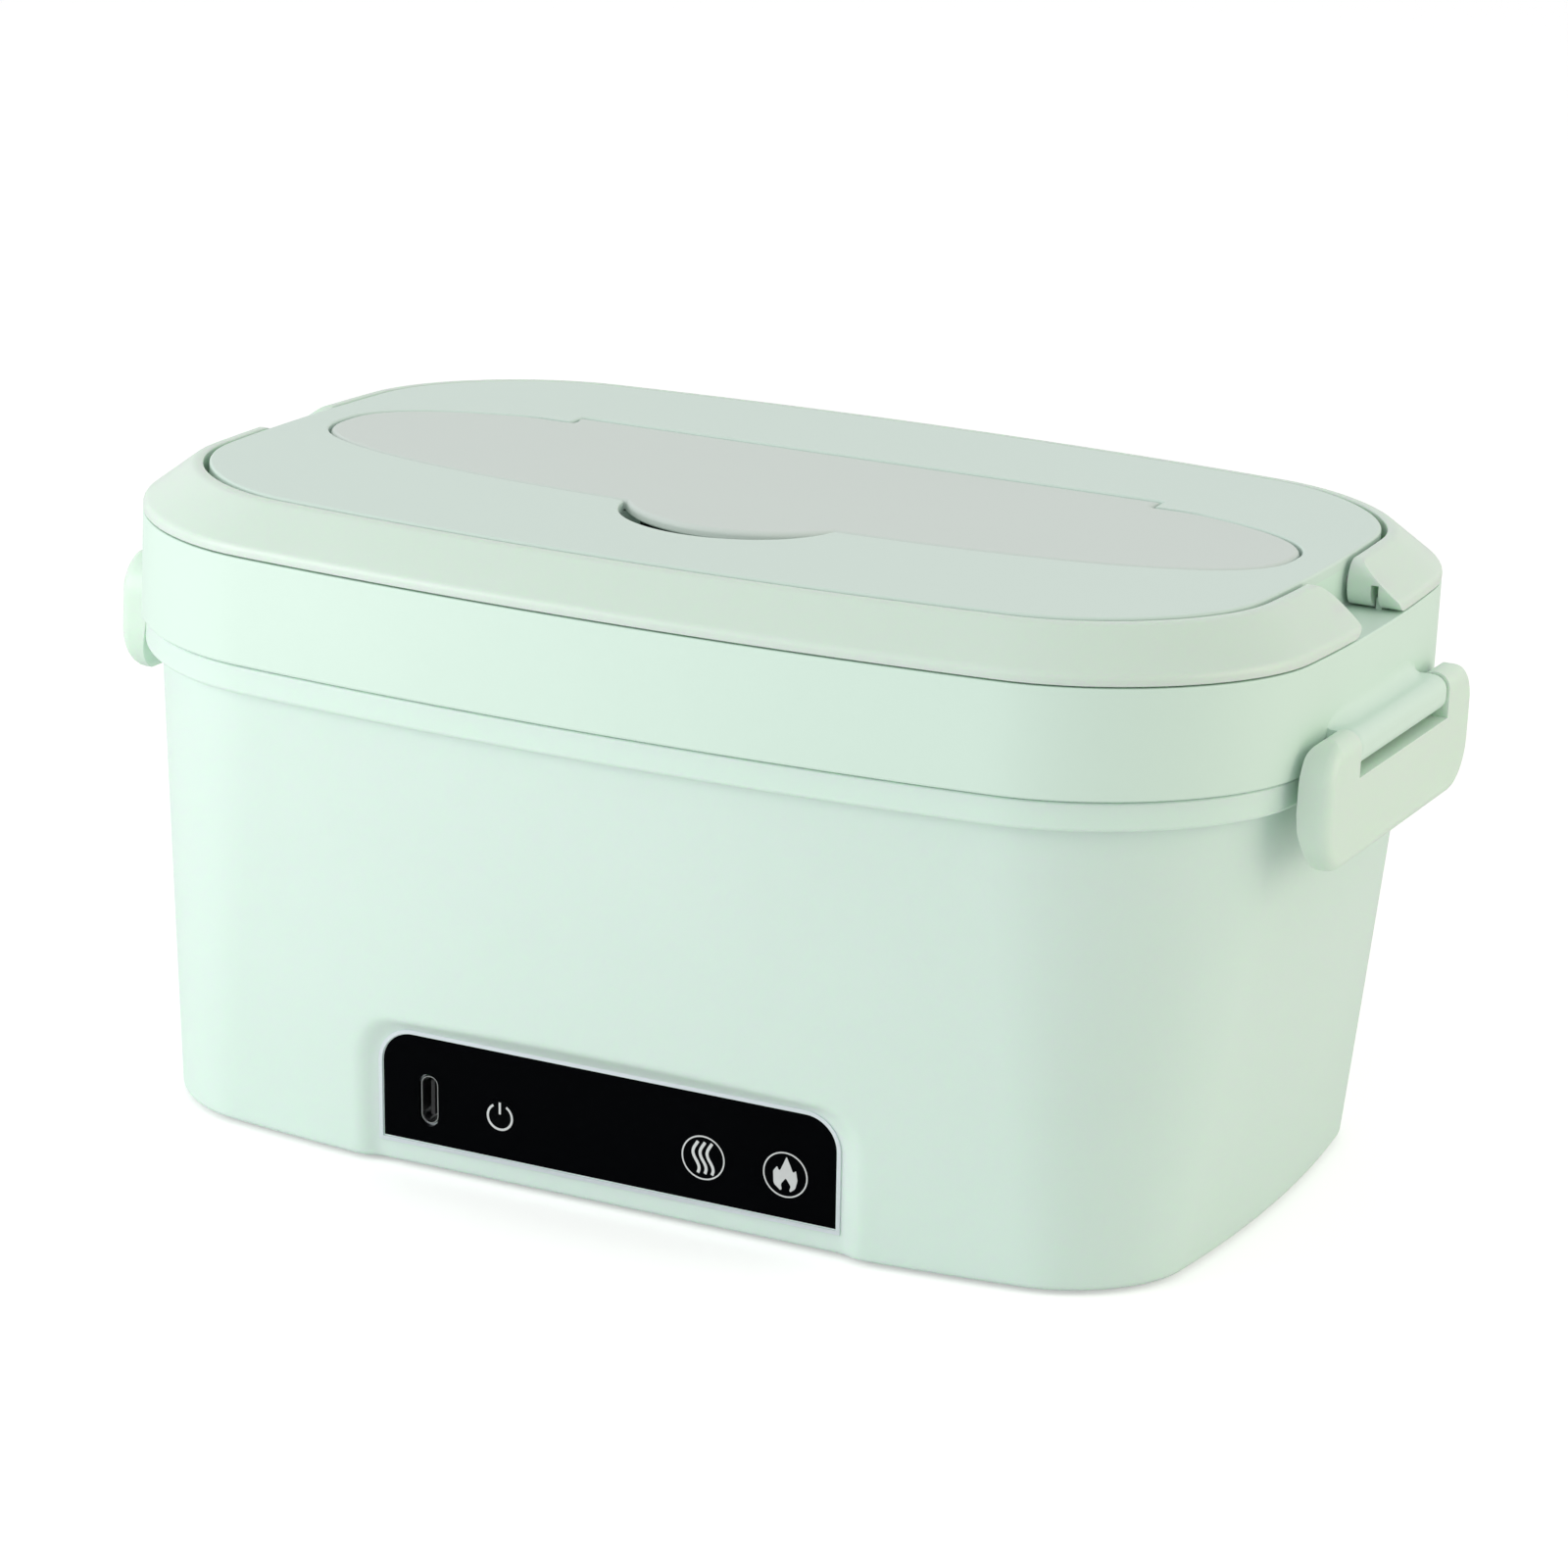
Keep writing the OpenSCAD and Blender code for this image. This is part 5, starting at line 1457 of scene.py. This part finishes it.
@dataclass(frozen=True)
class Latches:
    """The two side latches, which hook under the collar."""

    axis_x: float = 115.0
    axis_z: float = 93.4
    ear_r: float = 2.9
    half: float = 37.6
    drop: float = 20.2
    tip: float = 4.1
    slot_half: float = 23.5
    slot_depth: float = 5.1
    slot_ends: Flat = (104.0, 125.0)
    body_depth: float = 20.0
    wall_gap: float = 0.5
    collar_gap: float = 0.6
    above: float = 6.0
    edge: float = 0.5
    catch_half: float = 18.0
    catch_drop: float = 0.3
    catch_x: Flat = (2.4, 1.5)
    catch_z: Flat = (0.8, 3.2)
    corner: float = 9.0
    shoulder: float = 7.5
    hollow: tuple[Flat, ...] = ((0.0, -3.0), (0.0, -9.0), (0.3, -12.0))
    toe: float = 2.0
    brow: float = 2.2

    def outline(self, inset: float) -> list[Flat]:
        """Outline of a latch about its axis.

        Args:
            inset: How far it is moved in.

        Returns:
            The points as y and height.
        """
        low, high = self.corner - inset, self.shoulder - inset
        half, top, foot = self.half - inset, self.ear_r - inset, inset - self.drop
        return [*arc(half - low, foot + low, low, 270, 360, steps=18),
                *arc(half - high, top - high, high, 0, 90, steps=16),
                *arc(high - half, top - high, high, 90, 180, steps=16),
                *arc(low - half, foot + low, low, 180, 270, steps=18)]

    def side(self) -> list[Flat]:
        """Outline of a latch from its end: ear, hollow back, toe and a straight run past its face."""
        out, back = RIM.half_length - self.axis_x, self.ear_r - self.tip
        points = [*arc(0, 0, self.ear_r, 0, 180, steps=20), *((out + u, v) for u, v in self.hollow),
                  *arc(back + self.toe, self.toe - self.drop, self.toe, 180, 270, steps=8),
                  (FAR, -self.drop), (FAR, 0.0)]
        return [(u + self.axis_x, v + self.axis_z) for u, v in points]

    def latch(self) -> Shape:
        """The right latch."""
        face, top, above = self.axis_x + self.ear_r, Z.collar - self.catch_drop, self.axis_z + self.above
        layers = [(face - self.body_depth, 0.0)]
        layers += [(face - self.brow * v, self.brow * u) for u, v in quarter(6)]
        body = Shape().loft([[(x, y, z + self.axis_z) for y, z in self.outline(inset)]
                             for x, inset in layers])
        near, far = self.slot_ends
        slot = Shape().block((near, -self.slot_half, self.axis_z - self.slot_depth),
                             (far, self.slot_half, above))
        body.carve(prism(self.side(), -FAR, FAR, "y"), Cut.KEEP)
        body.carve(prism(RIM.outline(-self.wall_gap), Z.collar + self.collar_gap, above), Cut.AWAY)
        body.carve(slot, Cut.AWAY)
        body.soften(self.edge, angle=40, segments=3)
        inner, outer = RIM.half_length - self.catch_x[0], self.axis_x - self.catch_x[1]
        hook = [(inner, top), (inner, top - self.catch_z[0]), (outer, top - self.catch_z[1]), (outer, top)]
        return body.loft([[(u, y, v) for u, v in hook] for y in (-self.catch_half, self.catch_half)])

    def build(self) -> None:
        """Makes the two latches."""
        right, left = self.latch(), self.latch().mirrored(0)
        right.piece("side_latch_right", LATCH_MINT, Body.LATCH_RIGHT, "mint_latch", "latch_right")
        left.piece("side_latch_left", LATCH_MINT, Body.LATCH_LEFT, "mint_latch", "latch_left")


# ---------------------------------------------------------------- camera and studio


def outward(azimuth: float, elevation: float) -> Vector:
    """Unit vector away from the box, by an angle round it from its front and one above the floor."""
    a, e = math.radians(azimuth), math.radians(elevation)
    return Vector((math.sin(a) * math.cos(e), -math.cos(a) * math.cos(e), math.sin(e)))


@dataclass(frozen=True)
class Camera:
    """The camera, on a sphere about a target on the box."""

    target: Point = (1.11, 0.0, 62.62)
    azimuth: float = 24.58
    elevation: float = 15.78
    roll: float = 2.81
    distance: float = 932.28
    lens: float = 117.4
    sensor: float = 36.0
    clip: Flat = (0.05, 50.0)

    def build(self) -> None:
        """Makes the camera and the scene's view settings."""
        a, t = math.radians(self.azimuth), math.radians(self.roll)
        back = outward(self.azimuth, self.elevation)
        right = Vector((math.cos(a), math.sin(a), 0.0))
        up = back.cross(right)
        across = right * math.cos(t) + up * math.sin(t)
        above = up * math.cos(t) - right * math.sin(t)
        data = bpy.data.cameras.new("camera")
        data.lens, data.sensor_width = self.lens, self.sensor
        data.clip_start, data.clip_end = self.clip
        made = linked("camera", data)
        place = (Vector(self.target) + back * self.distance) * MM
        made.matrix_world = Matrix.Translation(place) @ Matrix((across, above, back)).transposed().to_4x4()
        bpy.context.scene.camera = made
        bpy.context.scene.view_settings.view_transform = "Standard"


@dataclass(frozen=True)
class Lamp:
    """A soft square lamp that faces the box, in metres and watts."""

    name: str
    azimuth: float
    elevation: float
    distance: float
    size: float
    power: float
    colour: Colour = (1.0, 1.0, 1.0)
    target: Point = (0.0, 0.0, 0.06)

    def build(self) -> None:
        """Makes the lamp."""
        data = bpy.data.lights.new(self.name, "AREA")
        data.shape, data.size, data.energy, data.color = "SQUARE", self.size, self.power, self.colour
        back = outward(self.azimuth, self.elevation)
        place = Matrix.Translation(back * self.distance + Vector(self.target))
        linked(self.name, data).matrix_world = place @ back.to_track_quat("Z", "Y").to_matrix().to_4x4()


@dataclass(frozen=True)
class Studio:
    """A plain pale floor, a white surround and soft lamps."""

    sky: float = 0.66
    floor: float = 0.86
    floor_mottle: float = 0.99
    floor_glow: float = 0.4
    floor_reach: float = 6.0
    floor_grain: float = 3.0
    lamps: tuple[Lamp, ...] = (
        Lamp("key", -44.0, 14.0, 0.95, 0.6, 3.95),
        Lamp("fill", 100.0, 16.0, 1.1, 0.8, 3.0, (1.0, 0.94, 0.72)),
    )

    def sky_material(self) -> None:
        """White where it is seen or mirrored, softer where it lights the box."""
        world = bpy.context.scene.world = bpy.data.worlds.new("surround")
        net = Net(world)
        seen, through, mirrored = (net.node("ShaderNodeLightPath", output=ray) for ray in
                                   ("Is Camera Ray", "Is Transmission Ray", "Is Glossy Ray"))
        shown = seen.maths("MAXIMUM", seen, seen.maths("MAXIMUM", through, mirrored))
        strength = net.node("ShaderNodeMix", None, {0: shown, 2: self.sky, 3: 1.0})
        lit = net.node("ShaderNodeBackground", None, {"Color": (1.0, 1.0, 1.0, 1.0), "Strength": strength})
        net.node("ShaderNodeOutputWorld", None, {"Surface": lit})

    def floor_material(self) -> bpy.types.Material:
        """A pale matt floor that reads as white and keeps a soft shadow."""
        net = Net(bpy.data.materials.new("floor_paint"))
        seen = net.node("ShaderNodeLightPath", output="Is Camera Ray")
        glow = net.blend(seen, (0.0, 0.0, 0.0), (self.floor_glow,) * 3)
        grain = net.noise(self.floor_grain, 2.0)
        colour = net.shade(grain, (self.floor,) * 3, 1.0, self.floor_mottle)
        return net.surface(Base_Color=colour, Roughness=0.9, Emission_Color=glow, Emission_Strength=1.0)

    def build(self) -> None:
        """Makes the floor, the surround and the lamps."""
        self.sky_material()
        shape = Shape()
        bmesh.ops.create_circle(shape.bm, cap_ends=True, segments=64, radius=self.floor_reach)
        mesh = shape.mesh("floor")
        shape.bm.free()
        mesh.materials.append(self.floor_material())
        made = linked("floor", mesh)
        for lamp in self.lamps:
            lamp.build()


def dress_carried_nodes() -> None:
    """Gives every node that stays its finish."""
    for finish, nodes in CARRIED.items():
        for name in nodes:
            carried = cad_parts[name]
            if not carried.material_slots:
                carried.data.materials.append(finish.material())
            for slot in carried.material_slots:
                slot.material = finish.material()
            LOG.info("%s: %s", name, finish.name)


def main() -> None:
    """Builds the scene in order."""
    logging.basicConfig(level=logging.INFO, format="%(name)s %(message)s")
    Camera().build()
    for assembly in (Tub, Inside, Socket, Prints, LidWall, Liner, Cutlery, Handles, Latches):
        LOG.info("building %s", assembly.__name__)
        assembly().build()
    dress_carried_nodes()
    Studio().build()


if __name__ == "__main__":
    main()
